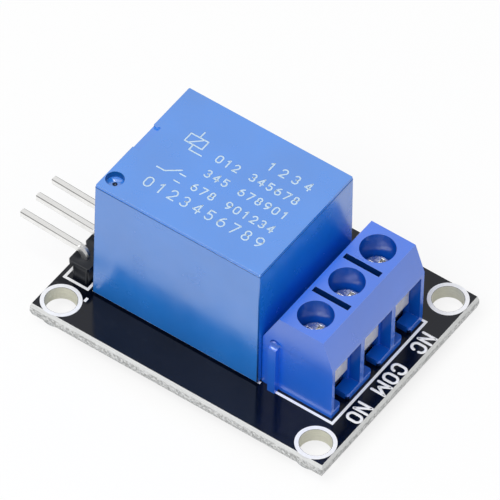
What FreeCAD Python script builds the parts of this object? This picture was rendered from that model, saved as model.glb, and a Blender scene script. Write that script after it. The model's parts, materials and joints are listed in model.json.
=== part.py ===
"""Single-channel relay module board.

Millimetres, +Z up. The origin is the centre of the four mounting holes on the underside of the
circuit board, +X points to the screw terminals and -X to the pin header.
"""
import FreeCAD, Part
import os
import re
import Sketcher

# Driving sizes of the module, each in a named cell of the sheet.
SIZES = {
    # Circuit board with scored edges and four mounting holes
    "header_edge": 0.95,
    "terminal_edge": 2.71,
    "board_width": 26.0,
    "board_thickness": 1.6,
    "score_depth": 0.5,
    "score_inset": 0.15,
    "hole_edge_x": 2.2,
    "hole_edge_y": 2.05,
    "hole_radius": 1.6,
    # Leads that pass through the board, and their solder
    "tail_length": 1.5,
    "lead_gap": 0.08,
    "solder_ring": 0.4,
    "solder_height": 0.9,
    # Relay case
    "header_gap": 0.8,
    "relay_y": -0.7,
    "relay_length": 19.0,
    "relay_width": 15.2,
    "roof_gap": 0.32,
    "case_lift": 0.3,
    "case_wall": 0.9,
    "case_roof": 1.1,
    "case_draft": 0.5,
    "case_corner": 0.12,
    "rim_height": 0.3,
    "rim_inset": 0.04,
    "rim_edge": 0.05,
    "vent_radius": 0.93,
    "vent_depth": 0.75,
    "vent_inset": 1.1,
    "vent_inset_y": 1.69,
    "pip_radius": 0.25,
    "pip_depth": 0.25,
    "notch_width": 3.46,
    "notch_reach": 0.86,
    "notch_depth": 0.35,
    "notch_offset": 0.09,
    # Relay base
    "base_thickness": 1.3,
    "base_recess": 0.4,
    "base_gap": 0.05,
    "foot_size": 1.0,
    # Relay leads
    "lead_inset_y": 0.7,
    "coil_pin_inset": 1.74,
    "coil_pin_size": 0.5,
    "coil_pin_rise": 2.4,
    "contact_pin_inset": 1.51,
    "blade_width": 1.0,
    "blade_thickness": 0.4,
    # Relay magnet
    "yoke_inset": 1.75,
    "contact_space": 4.65,
    "core_radius": 2.0,
    "pole_radius": 3.0,
    "pole_thickness": 0.6,
    "core_length": 9.2,
    "spool_gap": 0.05,
    "spool_wall": 0.6,
    "flange_thickness": 0.7,
    "winding_inset": 0.2,
    "yoke_thickness": 1.1,
    "yoke_width": 7.0,
    "yoke_reach": 3.0,
    # Relay armature and contacts
    "armature_tilt": 2.2,
    "armature_thickness": 1.0,
    "armature_overhang": 0.4,
    "armature_gap": 0.05,
    "leaf_thickness": 0.25,
    "leaf_width": 4.0,
    "leaf_start": 1.5,
    "contact_arm": 1.54,
    "contact_radius": 1.1,
    "contact_height": 0.5,
    "rivet_height": 0.3,
    "rivet_shank": 0.5,
    "contact_gap": 0.05,
    "contact_stroke": 0.45,
    # Screw terminal housing
    "terminal_gap": 0.18,
    "terminal_y": -0.24,
    "pole_pitch": 5.08,
    "block_wall": 0.54,
    "well_margin": 0.77,
    "block_back": 4.22,
    "block_front": 3.74,
    "crown_back": 2.45,
    "crown_front": 2.6,
    "shoulder_height": 6.56,
    "mouth_height": 6.6,
    "brow_lip": 0.47,
    "mouth_depth": 1.24,
    "divider": 0.62,
    "end_wall": 0.5,
    "sill_height": 0.8,
    "sill_slot_width": 1.1,
    "sill_slot_offset": -0.23,
    "well_gap": 0.18,
    "key_slot_width": 0.65,
    "key_slot_back": 2.05,
    "key_slot_front": 2.1,
    "key_slot_depth": 2.4,
    "chamber_back": 2.15,
    "chamber_width": 3.9,
    "sill_corner": 0.35,
    "rail_back": 3.17,
    "rail_width": 0.84,
    "rail_height": 6.2,
    "rail_reach": 0.6,
    "rail_clearance": 0.06,
    "rail_pocket_height": 0.74,
    "rail_pocket_margin": 0.21,
    "rail_pocket_depth": 0.4,
    "skirt_height": 6.4,
    "skirt_inset": 0.1,
    # Terminal metalwork
    "contact_side_gap": 0.15,
    "contact_plate": 0.5,
    "contact_floor": 0.5,
    "nut_thickness": 1.0,
    "metal_gap": 0.1,
    "guard_side_gap": 0.07,
    "guard_thickness": 0.35,
    "guard_foot": 1.95,
    "guard_top": 6.45,
    "guard_end_gap": 0.25,
    "guard_bend": 0.35,
    "pin_length_x": 1.0,
    "pin_width_y": 0.8,
    # Terminal screws
    "screw_drop": 0.85,
    "screw_head_radius": 1.6,
    "screw_head_height": 1.4,
    "screw_head_edge": 0.25,
    "screw_radius": 1.2,
    "screw_clearance": 0.05,
    "screw_lift": 1.9,
    "drive_width": 0.5,
    "drive_depth": 0.8,
    # Pin header
    "header_edge_y": 4.84,
    "header_pitch": 2.54,
    "header_width": 2.4,
    "header_height": 2.54,
    "header_notch": 0.35,
    "header_end_notch": 0.2,
    "header_relief": 0.25,
    "header_relief_height": 2.0,
    "pin_size": 0.64,
    "pin_standoff": 0.55,
    "pin_reach": 7.85,
    "pin_bend": 0.5,
    "pin_splay": 2.4,
    "pin_bevel": 0.12,
    "pin_bore_gap": 0.03,
    # Small surface parts behind the relay
    "row_gap": 3.0,
    "row_overhang": 0.3,
    "chip_gap": 0.8,
    "part_gap": 0.6,
    "chip_length": 2.0,
    "chip_width": 1.25,
    "chip_height": 0.5,
    "cap_length": 0.35,
    "led_base": 0.3,
    "led_lens_length": 1.2,
    "led_lens_height": 0.5,
    "diode_length": 4.2,
    "diode_width": 2.6,
    "diode_height": 2.1,
    "diode_lift": 0.2,
    "diode_lead_width": 1.5,
    "diode_lead_reach": 0.5,
    "diode_lead_thickness": 0.2,
    "diode_taper": 0.25,
    "transistor_length": 2.9,
    "transistor_width": 1.3,
    "transistor_height": 1.0,
    "transistor_lift": 0.1,
    "transistor_pitch": 0.95,
    "lead_width": 0.4,
    "lead_thickness": 0.12,
    "lead_reach": 0.55,
    "lead_foot": 0.3,
    "lead_height": 0.55,
}

doc = FreeCAD.newDocument("relay_module_board")
sheet = doc.addObject("Spreadsheet::Sheet", "Sizes")
for row, (alias, number) in enumerate(SIZES.items(), start=1):
    sheet.set(f"A{row}", alias)
    sheet.set(f"B{row}", str(number))
    sheet.setAlias(f"B{row}", alias)
doc.recompute()

SUB_PARTS = []

# Sizes and places that follow from the driving ones, as expressions.
BLOCK_WIDTH = "(2 * pole_pitch + chamber_width + 2 * block_wall)"
BOARD_LENGTH = ("(header_edge + header_width + header_gap + relay_length"
                " + terminal_gap + block_back + block_front + terminal_edge)")
HEADER_X = f"(header_edge + header_width / 2 - {BOARD_LENGTH} / 2)"
RELAY_X = f"({HEADER_X} + header_width / 2 + header_gap + relay_length / 2)"
TERMINAL_X = f"({RELAY_X} + relay_length / 2 + terminal_gap + block_back)"
HEADER_Y = "(header_edge_y + 1.5 * header_pitch - board_width / 2)"
BOARD_TOP = "board_thickness"
TAIL_TIP = "(-tail_length)"

# The relay, from its floor up and from its cover's walls in.
FLANGE_LENGTH = ("(relay_length - 2 * case_wall - yoke_inset - yoke_thickness"
                 " - metal_gap - contact_space)")
YOKE_BACK = f"({RELAY_X} - relay_length / 2 + case_wall + yoke_inset)"
YOKE_INNER = f"({YOKE_BACK} + yoke_thickness)"
CORE_X = f"({YOKE_INNER} + metal_gap + {FLANGE_LENGTH} / 2)"
LEAD_Y = "(relay_width / 2 - case_wall - lead_inset_y)"
CONTACT_PIN_X = f"({RELAY_X} + relay_length / 2 - case_wall - contact_pin_inset)"
CONTACT_X = f"({CONTACT_PIN_X} - contact_arm)"
CONTACT_REACH = f"({CONTACT_X} - {YOKE_BACK})"
CASE_BOTTOM = f"({BOARD_TOP} + case_lift)"
BASE_BOTTOM = f"({CASE_BOTTOM} + base_recess)"
BASE_TOP = f"({BASE_BOTTOM} + base_thickness)"
FOOT_TOP = f"({BASE_TOP} + yoke_thickness)"
YOKE_TOP = f"({BASE_TOP} + core_length)"
REST_HEIGHT = f"({YOKE_TOP} + armature_gap + {CONTACT_REACH} * sin(armature_tilt))"
RIVET_TOP = "((armature_thickness + leaf_thickness + contact_height) * cos(armature_tilt))"
RIVET_LOW = "((armature_thickness - contact_height) * cos(armature_tilt))"
UPPER_CONTACT = f"({REST_HEIGHT} + {RIVET_TOP} + contact_gap)"
LOWER_CONTACT = f"({REST_HEIGHT} + {RIVET_LOW} - contact_stroke)"
CASE_TOP = f"({UPPER_CONTACT} + rivet_height + blade_thickness + roof_gap + case_roof)"
CASE_HEIGHT = f"({CASE_TOP} - {CASE_BOTTOM})"

# The terminal block, from the contact's floor up and from its mouths in.
MOUTH_PLANE = f"({TERMINAL_X} + block_front - mouth_depth)"
GUARD_BACK = f"({MOUTH_PLANE} - guard_thickness)"
CONTACT_BACK = f"({TERMINAL_X} - chamber_back + metal_gap / 2)"
FOOT_FACE = f"({BOARD_TOP} + guard_foot + guard_thickness)"
NUT_BOTTOM = f"({FOOT_FACE} + screw_lift + metal_gap / 2)"
NUT_TOP = f"({NUT_BOTTOM} + nut_thickness)"
WELL_FLOOR = f"({NUT_TOP} + metal_gap / 2)"
SCREW_TOP = f"({WELL_FLOOR} + screw_drop + screw_head_height)"
BLOCK_TOP = f"({SCREW_TOP} + screw_lift + well_margin)"
PIN_HEIGHT = f"({BOARD_TOP} + header_height + pin_standoff + pin_size / 2)"

# The row of small parts behind the relay, from the diode on.
ROW_Y = "(relay_y + relay_width / 2 + row_gap)"
DIODE_X = f"({RELAY_X} - relay_length / 2 - row_overhang + diode_lead_thickness + diode_length / 2)"
CHIP_X = f"({DIODE_X} + diode_length / 2 + diode_lead_thickness + part_gap + chip_length / 2)"
TRANSISTOR_X = f"({CHIP_X} + 3.5 * chip_length + 3 * chip_gap + part_gap + transistor_length / 2)"


def named(text):
    """An expression whose size names point at the sheet's cells."""
    return re.sub(r"[a-z][a-z_]+", lambda m: f"Sizes.{m[0]}" if m[0] in SIZES else m[0], text)


def amount(text):
    """The number that an expression of sizes gives."""
    return float(sheet.evalExpression(named(text).replace("Sizes.", "")))


def bind(target, prop, text):
    """Drive a property by an expression of the sheet's sizes."""
    target.setExpression(prop, named(text))


def sub_part(shape_object, node):
    """Keep an object as one physical piece under its own name."""
    shape_object.Label = node
    SUB_PARTS.append(shape_object)
    return shape_object


def box(name, low, high):
    """A block between two corners, each three expressions."""
    block = doc.addObject("Part::Box", name)
    for prop, start, end in zip(("Length", "Width", "Height"), low, high):
        bind(block, prop, f"({end}) - ({start})")
    for axis, start in zip("xyz", low):
        bind(block, f"Placement.Base.{axis}", start)
    return block


def centred_box(name, centre, size, bottom, top):
    """A block around a vertical axis, with its own bottom and top heights."""
    low = [f"{centre[0]} - ({size[0]}) / 2", f"{centre[1]} - ({size[1]}) / 2", bottom]
    high = [f"{centre[0]} + ({size[0]}) / 2", f"{centre[1]} + ({size[1]}) / 2", top]
    return box(name, low, high)


def cylinder(name, centre, radius, bottom, top):
    """An upright cylinder."""
    rod = doc.addObject("Part::Cylinder", name)
    bind(rod, "Radius", radius)
    bind(rod, "Height", f"({top}) - ({bottom})")
    for axis, start in zip("xyz", (centre[0], centre[1], bottom)):
        bind(rod, f"Placement.Base.{axis}", start)
    return rod


def fuse(name, pieces):
    """Several solids as one."""
    union = doc.addObject("Part::MultiFuse", name)
    union.Shapes = pieces
    union.Refine = True
    return union


def cut(name, base, tools):
    """A solid with other solids taken away."""
    result = doc.addObject("Part::Cut", name)
    result.Base = base
    result.Tool = tools[0] if len(tools) == 1 else fuse(f"{name}_tools", tools)
    result.Refine = True
    return result


def group(name, pieces):
    """Separate solids kept as one piece of the list."""
    compound = doc.addObject("Part::Compound", name)
    compound.Links = pieces
    return compound


def new_body(name):
    """An empty feature body."""
    return doc.addObject("PartDesign::Body", name)


def new_sketch(body, plane_role, name, offset="0"):
    """A sketch on one of the body's own planes, moved along the plane's normal."""
    sketch = body.newObject("Sketcher::SketchObject", name)
    plane = next(item for item in body.Origin.OriginFeatures if item.Role == plane_role)
    sketch.AttachmentSupport = (plane, [""])
    sketch.MapMode = "FlatFace"
    bind(sketch, "AttachmentOffset.Base.z", offset)
    return sketch


def constrain_point(sketch, element, point, place):
    """Hold a sketch point at two expressions from the sketch's origin."""
    for kind, text in zip(("DistanceX", "DistanceY"), place):
        index = sketch.addConstraint(Sketcher.Constraint(kind, element, point, amount(text)))
        bind(sketch, f"Constraints[{index}]", text)


def polygon(sketch, points):
    """A closed outline of straight lines through points given as expressions."""
    spots = [FreeCAD.Vector(amount(across), amount(along), 0) for across, along in points]
    first = sketch.GeometryCount
    for start, end in zip(spots, spots[1:] + spots[:1]):
        sketch.addGeometry(Part.LineSegment(start, end), False)
    count = len(points)
    for order, place in enumerate(points):
        previous = first + (order - 1) % count
        sketch.addConstraint(Sketcher.Constraint("Coincident", previous, 2, first + order, 1))
        constrain_point(sketch, first + order, 1, place)


def rectangle(sketch, low, high):
    """A rectangle between two corners."""
    polygon(sketch, [(low[0], low[1]), (high[0], low[1]), (high[0], high[1]), (low[0], high[1])])


def rounded_top(sketch, low, high):
    """An outline with a flat foot, straight sides and a round top between two corners."""
    left, right = f"({low[0]})", f"({high[0]})"
    middle = f"(({left} + {right}) / 2)"
    spring = f"(({high[1]}) - ({right} - {left}) / 2)"
    points = [(left, low[1]), (right, low[1]), (right, spring), (left, spring)]
    spots = [FreeCAD.Vector(amount(across), amount(along), 0) for across, along in points]
    crown = FreeCAD.Vector(amount(middle), amount(high[1]), 0)
    sketch.addGeometry(Part.LineSegment(spots[3], spots[0]), False)
    sketch.addGeometry(Part.LineSegment(spots[0], spots[1]), False)
    sketch.addGeometry(Part.LineSegment(spots[1], spots[2]), False)
    sketch.addGeometry(Part.Arc(spots[2], crown, spots[3]), False)
    for line, place in ((0, points[3]), (1, points[0]), (2, points[1])):
        constrain_point(sketch, line, 1, place)
    constrain_point(sketch, 2, 2, points[2])
    for line in (0, 1):
        sketch.addConstraint(Sketcher.Constraint("Coincident", line, 2, line + 1, 1))
    sketch.addConstraint(Sketcher.Constraint("Coincident", 3, 1, 2, 2))
    sketch.addConstraint(Sketcher.Constraint("Coincident", 3, 2, 0, 1))
    index = sketch.addConstraint(Sketcher.Constraint("DistanceY", 3, 3, amount(spring)))
    bind(sketch, f"Constraints[{index}]", spring)


def circle(sketch, centre, radius):
    """A circle by its centre and radius."""
    middle = FreeCAD.Vector(amount(centre[0]), amount(centre[1]), 0)
    ring = Part.Circle(middle, FreeCAD.Vector(0, 0, 1), amount(radius))
    element = sketch.addGeometry(ring, False)
    constrain_point(sketch, element, 3, centre)
    index = sketch.addConstraint(Sketcher.Constraint("Radius", element, amount(radius)))
    bind(sketch, f"Constraints[{index}]", radius)


def pad(body, sketch, length, side="One side", reverse=False):
    """Grow a sketch into a solid."""
    feature = body.newObject("PartDesign::Pad", f"{sketch.Name}_pad")
    feature.Profile = sketch
    bind(feature, "Length", length)
    feature.SideType = side
    feature.Reversed = reverse
    sketch.Visibility = False
    return feature


def pocket(body, sketch, depth=None, reverse=False):
    """Cut a sketch out of the body, right through where no depth is given."""
    doc.recompute()
    before = body.Shape.Volume
    feature = body.newObject("PartDesign::Pocket", f"{sketch.Name}_pocket")
    feature.Profile = sketch
    if depth is None:
        feature.Type = "ThroughAll"
        feature.SideType = "Symmetric"
    else:
        bind(feature, "Length", depth)
        feature.Reversed = reverse
    doc.recompute()
    if body.Shape.Volume > before - 1e-6:
        raise RuntimeError(f"{feature.Name} cuts nothing")
    return feature


def element_names(feature, kind, test):
    """Names of the edges or faces whose box, beside the whole shape's box, passes a test."""
    whole = feature.Shape.BoundBox
    elements = enumerate(getattr(feature.Shape, f"{kind}s"), start=1)
    return [f"{kind}{number}" for number, element in elements if test(element.BoundBox, whole)]


def dress(body, kind, prop, size, test):
    """A fillet or chamfer on the body's edges that pass a test."""
    doc.recompute()
    tip = body.Tip
    names = element_names(tip, "Edge", test)
    if not names:
        raise RuntimeError(f"{body.Name} has no edge for its {kind}")
    feature = body.newObject(f"PartDesign::{kind}", f"{body.Name}_{kind.lower()}")
    feature.Base = (tip, names)
    bind(feature, prop, size)
    return feature


def top_face(face, whole):
    """The face in the highest plane."""
    return face.ZMin > whole.ZMax - 1e-3


def on_top(edge, whole):
    """An edge that lies in the highest plane and on the outer rim."""
    flat = edge.ZMin > whole.ZMax - 1e-3
    return flat and (edge.XLength > 0.5 * whole.XLength or edge.YLength > 0.5 * whole.YLength)


def opposite(sign):
    """The other of the two signs."""
    return "-" if sign == "+" else "+"


def pole_y(pole):
    """Where a terminal pole's axis lies across the board."""
    return f"(terminal_y + {pole - 1} * pole_pitch)"


def header_pin_y(pin):
    """Where a header pin stands across the board."""
    return f"({HEADER_Y} + {pin - 1} * header_pitch)"


def relay_lead_places():
    """Each relay lead's name, place on the board and section."""
    coil = ("coil_pin_size", "coil_pin_size")
    blade = ("blade_thickness", "blade_width")
    coil_x = f"({YOKE_BACK} + coil_pin_inset)"
    return {
        "relay_pin_com": ((f"({YOKE_BACK} - blade_thickness / 2)", "relay_y"), blade),
        "relay_pin_coil_1": ((coil_x, f"(relay_y - {LEAD_Y})"), coil),
        "relay_pin_coil_2": ((coil_x, f"(relay_y + {LEAD_Y})"), coil),
        "relay_contact_nc": ((CONTACT_PIN_X, f"(relay_y + {LEAD_Y})"), blade),
        "relay_contact_no": ((CONTACT_PIN_X, f"(relay_y - {LEAD_Y})"), blade),
    }


def lead_places():
    """Every lead that goes through the board: its place and section."""
    places = relay_lead_places()
    for pole in range(3):
        places[f"terminal_{pole}"] = ((TERMINAL_X, pole_y(pole)), ("pin_length_x", "pin_width_y"))
    for pin in range(3):
        places[f"header_{pin}"] = ((HEADER_X, header_pin_y(pin)), ("pin_size", "pin_size"))
    return places


def lead_hole_radius(section):
    """The drilled hole that clears a lead's corners."""
    return f"(sqrt({section[0]} ^ 2 + {section[1]} ^ 2) / 2 + lead_gap)"


def build_board():
    """Laminate with scored edges, mounting holes and lead holes."""
    body = new_body("circuit_board")
    section = new_sketch(body, "YZ_Plane", "board_section")
    outer = "board_width / 2"
    inner = "(board_width / 2 - score_inset)"
    upper = "(board_thickness - score_depth)"
    polygon(section, [
        (f"-{inner}", "0"), (inner, "0"), (outer, "score_depth"), (outer, upper),
        (inner, BOARD_TOP), (f"-{inner}", BOARD_TOP), (f"-{outer}", upper), (f"-{outer}", "score_depth"),
    ])
    pad(body, section, BOARD_LENGTH, side="Symmetric")

    ends = new_sketch(body, "XZ_Plane", "board_end_scores")
    for sign in ("", "-"):
        deep = f"{sign}({BOARD_LENGTH} / 2 - 2 * score_inset)"
        clear = f"{sign}({BOARD_LENGTH} / 2 + score_inset)"
        polygon(ends, [(deep, "-score_depth"), (clear, "2 * score_depth"), (clear, "-score_depth")])
        polygon(ends, [
            (deep, f"{BOARD_TOP} + score_depth"), (clear, f"{BOARD_TOP} - 2 * score_depth"),
            (clear, f"{BOARD_TOP} + score_depth"),
        ])
    pocket(body, ends)

    holes = new_sketch(body, "XY_Plane", "board_holes")
    for side_x in ("-", ""):
        for side_y in ("-", ""):
            circle(holes, (f"{side_x}({BOARD_LENGTH} / 2 - hole_edge_x)",
                           f"{side_y}(board_width / 2 - hole_edge_y)"), "hole_radius")
    for place, section in lead_places().values():
        circle(holes, place, lead_hole_radius(section))
    pocket(body, holes)
    sub_part(body, "circuit_board")


def build_solder():
    """One solder cone around each lead's tail, under the board."""
    joints = []
    for name, (place, section) in lead_places().items():
        radius = lead_hole_radius(section)
        cone = doc.addObject("Part::Cone", f"solder_{name}")
        bind(cone, "Radius1", radius)
        bind(cone, "Radius2", f"{radius} + solder_ring")
        bind(cone, "Height", "solder_height")
        for axis, start in zip("xyz", (*place, "-solder_height")):
            bind(cone, f"Placement.Base.{axis}", start)
        lead = centred_box(f"tail_{name}", place, section, "-solder_height - tail_length", BOARD_TOP)
        if name.startswith("header"):
            turn_about(lead, place, "-pin_splay")
        joints.append(cut(f"joint_{name}", cone, [lead]))
    sub_part(group("solder", joints), "solder_joints")


def turn_about(solid, place, angle):
    """Turn a block about the vertical axis through a place."""
    spot = FreeCAD.Vector(amount(place[0]), amount(place[1]), 0)
    turn = FreeCAD.Rotation(FreeCAD.Vector(0, 0, 1), amount(angle))
    doc.recompute()
    start = solid.Placement
    for axis in "xyz":
        solid.setExpression(f"Placement.Base.{axis}", None)
    solid.Placement = FreeCAD.Placement(FreeCAD.Vector(), turn, spot).multiply(start)


def build_relay_case():
    """Moulded cover: a shell with a stepped rim, a gate recess and a grip notch."""
    body = new_body("relay_case")
    outline = new_sketch(body, "XY_Plane", "case_outline", f"{CASE_TOP} - rim_height")
    low = (f"{RELAY_X} - relay_length / 2", "relay_y - relay_width / 2")
    high = (f"{RELAY_X} + relay_length / 2", "relay_y + relay_width / 2")
    rectangle(outline, low, high)
    walls = pad(body, outline, f"{CASE_HEIGHT} - rim_height", reverse=True)
    doc.recompute()
    lean = body.newObject("PartDesign::Draft", "case_lean")
    lean.Base = (walls, element_names(walls, "Face", lambda face, whole: face.ZLength > 1e-3))
    lean.NeutralPlane = (walls, element_names(walls, "Face", top_face))
    bind(lean, "Angle", "case_draft")
    rim = new_sketch(body, "XY_Plane", "case_rim", f"{CASE_TOP} - rim_height")
    rectangle(rim, [f"{side} + rim_inset" for side in low], [f"{side} - rim_inset" for side in high])
    pad(body, rim, "rim_height")
    dress(body, "Fillet", "Radius", "case_corner", case_upright)
    dress(body, "Chamfer", "Size", "rim_edge", on_top)

    hollow = new_sketch(body, "XY_Plane", "case_hollow", CASE_BOTTOM)
    rectangle(hollow, [f"{side} + case_wall" for side in low], [f"{side} - case_wall" for side in high])
    pocket(body, hollow, f"{CASE_HEIGHT} - case_roof", reverse=True)

    vent = new_sketch(body, "XY_Plane", "case_vent", CASE_TOP)
    vent_place = (f"{low[0]} + vent_inset", f"{low[1]} + vent_inset_y")
    circle(vent, vent_place, "vent_radius")
    pocket(body, vent, "vent_depth")
    pip = new_sketch(body, "XY_Plane", "case_pip", f"{CASE_TOP} - vent_depth")
    circle(pip, vent_place, "pip_radius")
    pocket(body, pip, "pip_depth")

    notch = new_sketch(body, "XY_Plane", "case_notch", CASE_TOP)
    middle = "(relay_y + notch_offset)"
    rectangle(notch, (f"{low[0]} - notch_reach", f"{middle} - notch_width / 2"),
              (f"{low[0]} + notch_reach", f"{middle} + notch_width / 2"))
    pocket(body, notch, "notch_depth")
    sub_part(body, "relay_case")


def case_upright(edge, whole):
    """A corner edge of the cover's outside, on its leaning walls or on its rim."""
    return edge.ZLength > 4 * max(edge.XLength, edge.YLength)


def build_relay_base():
    """Floor plate inside the cover, on four feet, with a slot for each lead."""
    inset = "(case_wall + base_gap)"
    plate = centred_box("base_plate", (RELAY_X, "relay_y"),
                        (f"relay_length - 2 * {inset}", f"relay_width - 2 * {inset}"), BASE_BOTTOM, BASE_TOP)
    feet = []
    for side_x in ("-", "+"):
        for side_y in ("-", "+"):
            place = (f"({RELAY_X} {side_x} (relay_length / 2 - {inset} - foot_size / 2))",
                     f"(relay_y {side_y} (relay_width / 2 - {inset} - foot_size / 2))")
            feet.append(centred_box("base_foot", place, ("foot_size", "foot_size"), BOARD_TOP, BASE_BOTTOM))
    slots = []
    for name, (place, section) in relay_lead_places().items():
        slots.append(centred_box(f"slot_{name}", place, section, BOARD_TOP, BASE_TOP))
    sub_part(cut("relay_base_cut", fuse("base_block", [plate, *feet]), slots), "relay_base")


def build_relay_magnet():
    """Yoke, core, spool and winding, standing on the base."""
    axis = (CORE_X, "relay_y")
    half_width = "yoke_width / 2"
    foot = box("yoke_foot", (YOKE_BACK, f"relay_y - {half_width}", BASE_TOP),
               (f"{CORE_X} + yoke_reach", f"relay_y + {half_width}", FOOT_TOP))
    back = box("yoke_back", (YOKE_BACK, f"relay_y - {half_width}", BASE_TOP),
               (YOKE_INNER, f"relay_y + {half_width}", YOKE_TOP))
    rivet_hole = cylinder("yoke_hole", axis, "core_radius", BASE_TOP, FOOT_TOP)
    sub_part(cut("yoke_cut", fuse("yoke_block", [foot, back]), [rivet_hole]), "relay_yoke")

    stem = cylinder("core_stem", axis, "core_radius", BASE_TOP, YOKE_TOP)
    pole = cylinder("core_pole", axis, "pole_radius", f"{YOKE_TOP} - pole_thickness", YOKE_TOP)
    sub_part(fuse("core", [stem, pole]), "relay_core")

    spool_top = f"({YOKE_TOP} - pole_thickness - spool_gap)"
    flange = (FLANGE_LENGTH, f"2 * {LEAD_Y} - coil_pin_size")
    lower = centred_box("spool_lower", axis, flange, FOOT_TOP, f"{FOOT_TOP} + flange_thickness")
    upper = centred_box("spool_upper", axis, flange, f"{spool_top} - flange_thickness", spool_top)
    tube = cylinder("spool_tube", axis, "core_radius + spool_gap + spool_wall", FOOT_TOP, spool_top)
    bore = cylinder("spool_bore", axis, "core_radius + spool_gap", FOOT_TOP, spool_top)
    sub_part(cut("spool_cut", fuse("spool", [lower, upper, tube]), [bore]), "relay_bobbin")

    low = f"{FOOT_TOP} + flange_thickness"
    high = f"{spool_top} - flange_thickness"
    coil = cylinder("coil_outer", axis, f"{FLANGE_LENGTH} / 2 - winding_inset", low, high)
    inside = cylinder("coil_inner", axis, "core_radius + spool_gap + spool_wall", low, high)
    sub_part(cut("coil_cut", coil, [inside]), "relay_winding")


def build_relay_armature():
    """Tilted armature with the contact leaf and its moving contact."""
    pivot = (YOKE_BACK, "relay_y", f"({YOKE_TOP} + armature_gap)")
    leaf_top = "(armature_thickness + leaf_thickness)"
    length = f"({CORE_X} + pole_radius + armature_overhang - {YOKE_BACK})"
    plate = box("armature_plate", ("0", "-yoke_width / 2", "0"),
                (length, "yoke_width / 2", "armature_thickness"))
    strip = box("leaf_strip", ("leaf_start", "-leaf_width / 2", "armature_thickness"),
                (f"{CONTACT_REACH} + contact_radius", "leaf_width / 2", leaf_top))
    hole = cylinder("leaf_hole", (CONTACT_REACH, "0"), "rivet_shank", "armature_thickness", leaf_top)
    leaf = cut("leaf_cut", strip, [hole])
    shank = cylinder("rivet_stem", (CONTACT_REACH, "0"), "rivet_shank",
                     "armature_thickness - contact_height", f"{leaf_top} + contact_height")
    under = cylinder("rivet_under", (CONTACT_REACH, "0"), "contact_radius",
                     "armature_thickness - contact_height", "armature_thickness")
    over = cylinder("rivet_over", (CONTACT_REACH, "0"), "contact_radius",
                    leaf_top, f"{leaf_top} + contact_height")
    contact = fuse("rivet", [shank, under, over])
    for solid, node in ((plate, "relay_armature"), (leaf, "relay_contact_spring"),
                        (contact, "relay_moving_contact")):
        carrier = group(f"{node}_tilted", [solid])
        for axis, start in zip("xyz", pivot):
            bind(carrier, f"Placement.Base.{axis}", start)
        carrier.Placement.Rotation = FreeCAD.Rotation(
            FreeCAD.Vector(0, 1, 0), -amount("armature_tilt"))
        sub_part(carrier, node)


def build_relay_leads():
    """Coil pins, common pin, and the two fixed contacts on their blades."""
    places = relay_lead_places()
    for node in ("relay_pin_coil_1", "relay_pin_coil_2"):
        place, section = places[node]
        sub_part(centred_box(f"{node}_pin", place, section, TAIL_TIP, f"{BASE_TOP} + coil_pin_rise"), node)
    place, section = places["relay_pin_com"]
    com_top = f"{BASE_TOP} + core_length / 2"
    sub_part(centred_box("com_pin", place, section, TAIL_TIP, com_top), "relay_pin_com")

    lower_rivet = f"({LOWER_CONTACT} - rivet_height)"
    arms = {
        "relay_contact_nc": (UPPER_CONTACT, f"({UPPER_CONTACT} + rivet_height)", "+"),
        "relay_contact_no": (lower_rivet, f"({lower_rivet} - blade_thickness)", "-"),
    }
    for node, (rivet_start, arm_start, side) in arms.items():
        place, section = places[node]
        arm_end = f"({arm_start} + blade_thickness)"
        stem = centred_box(f"{node}_stem", place, section, TAIL_TIP, arm_end)
        outer = f"(relay_y {side} ({LEAD_Y} + blade_width / 2))"
        inner = f"(relay_y {opposite(side)} contact_radius)"
        near, far = (inner, outer) if side == "+" else (outer, inner)
        arm = box(f"{node}_arm", (f"{CONTACT_X} - contact_radius", near, arm_start),
                  (f"{place[0]} + blade_thickness / 2", far, arm_end))
        rivet = cylinder(f"{node}_rivet", (CONTACT_X, "relay_y"), "contact_radius",
                         rivet_start, f"{rivet_start} + rivet_height")
        sub_part(fuse(f"{node}_blade", [stem, arm, rivet]), node)


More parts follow.
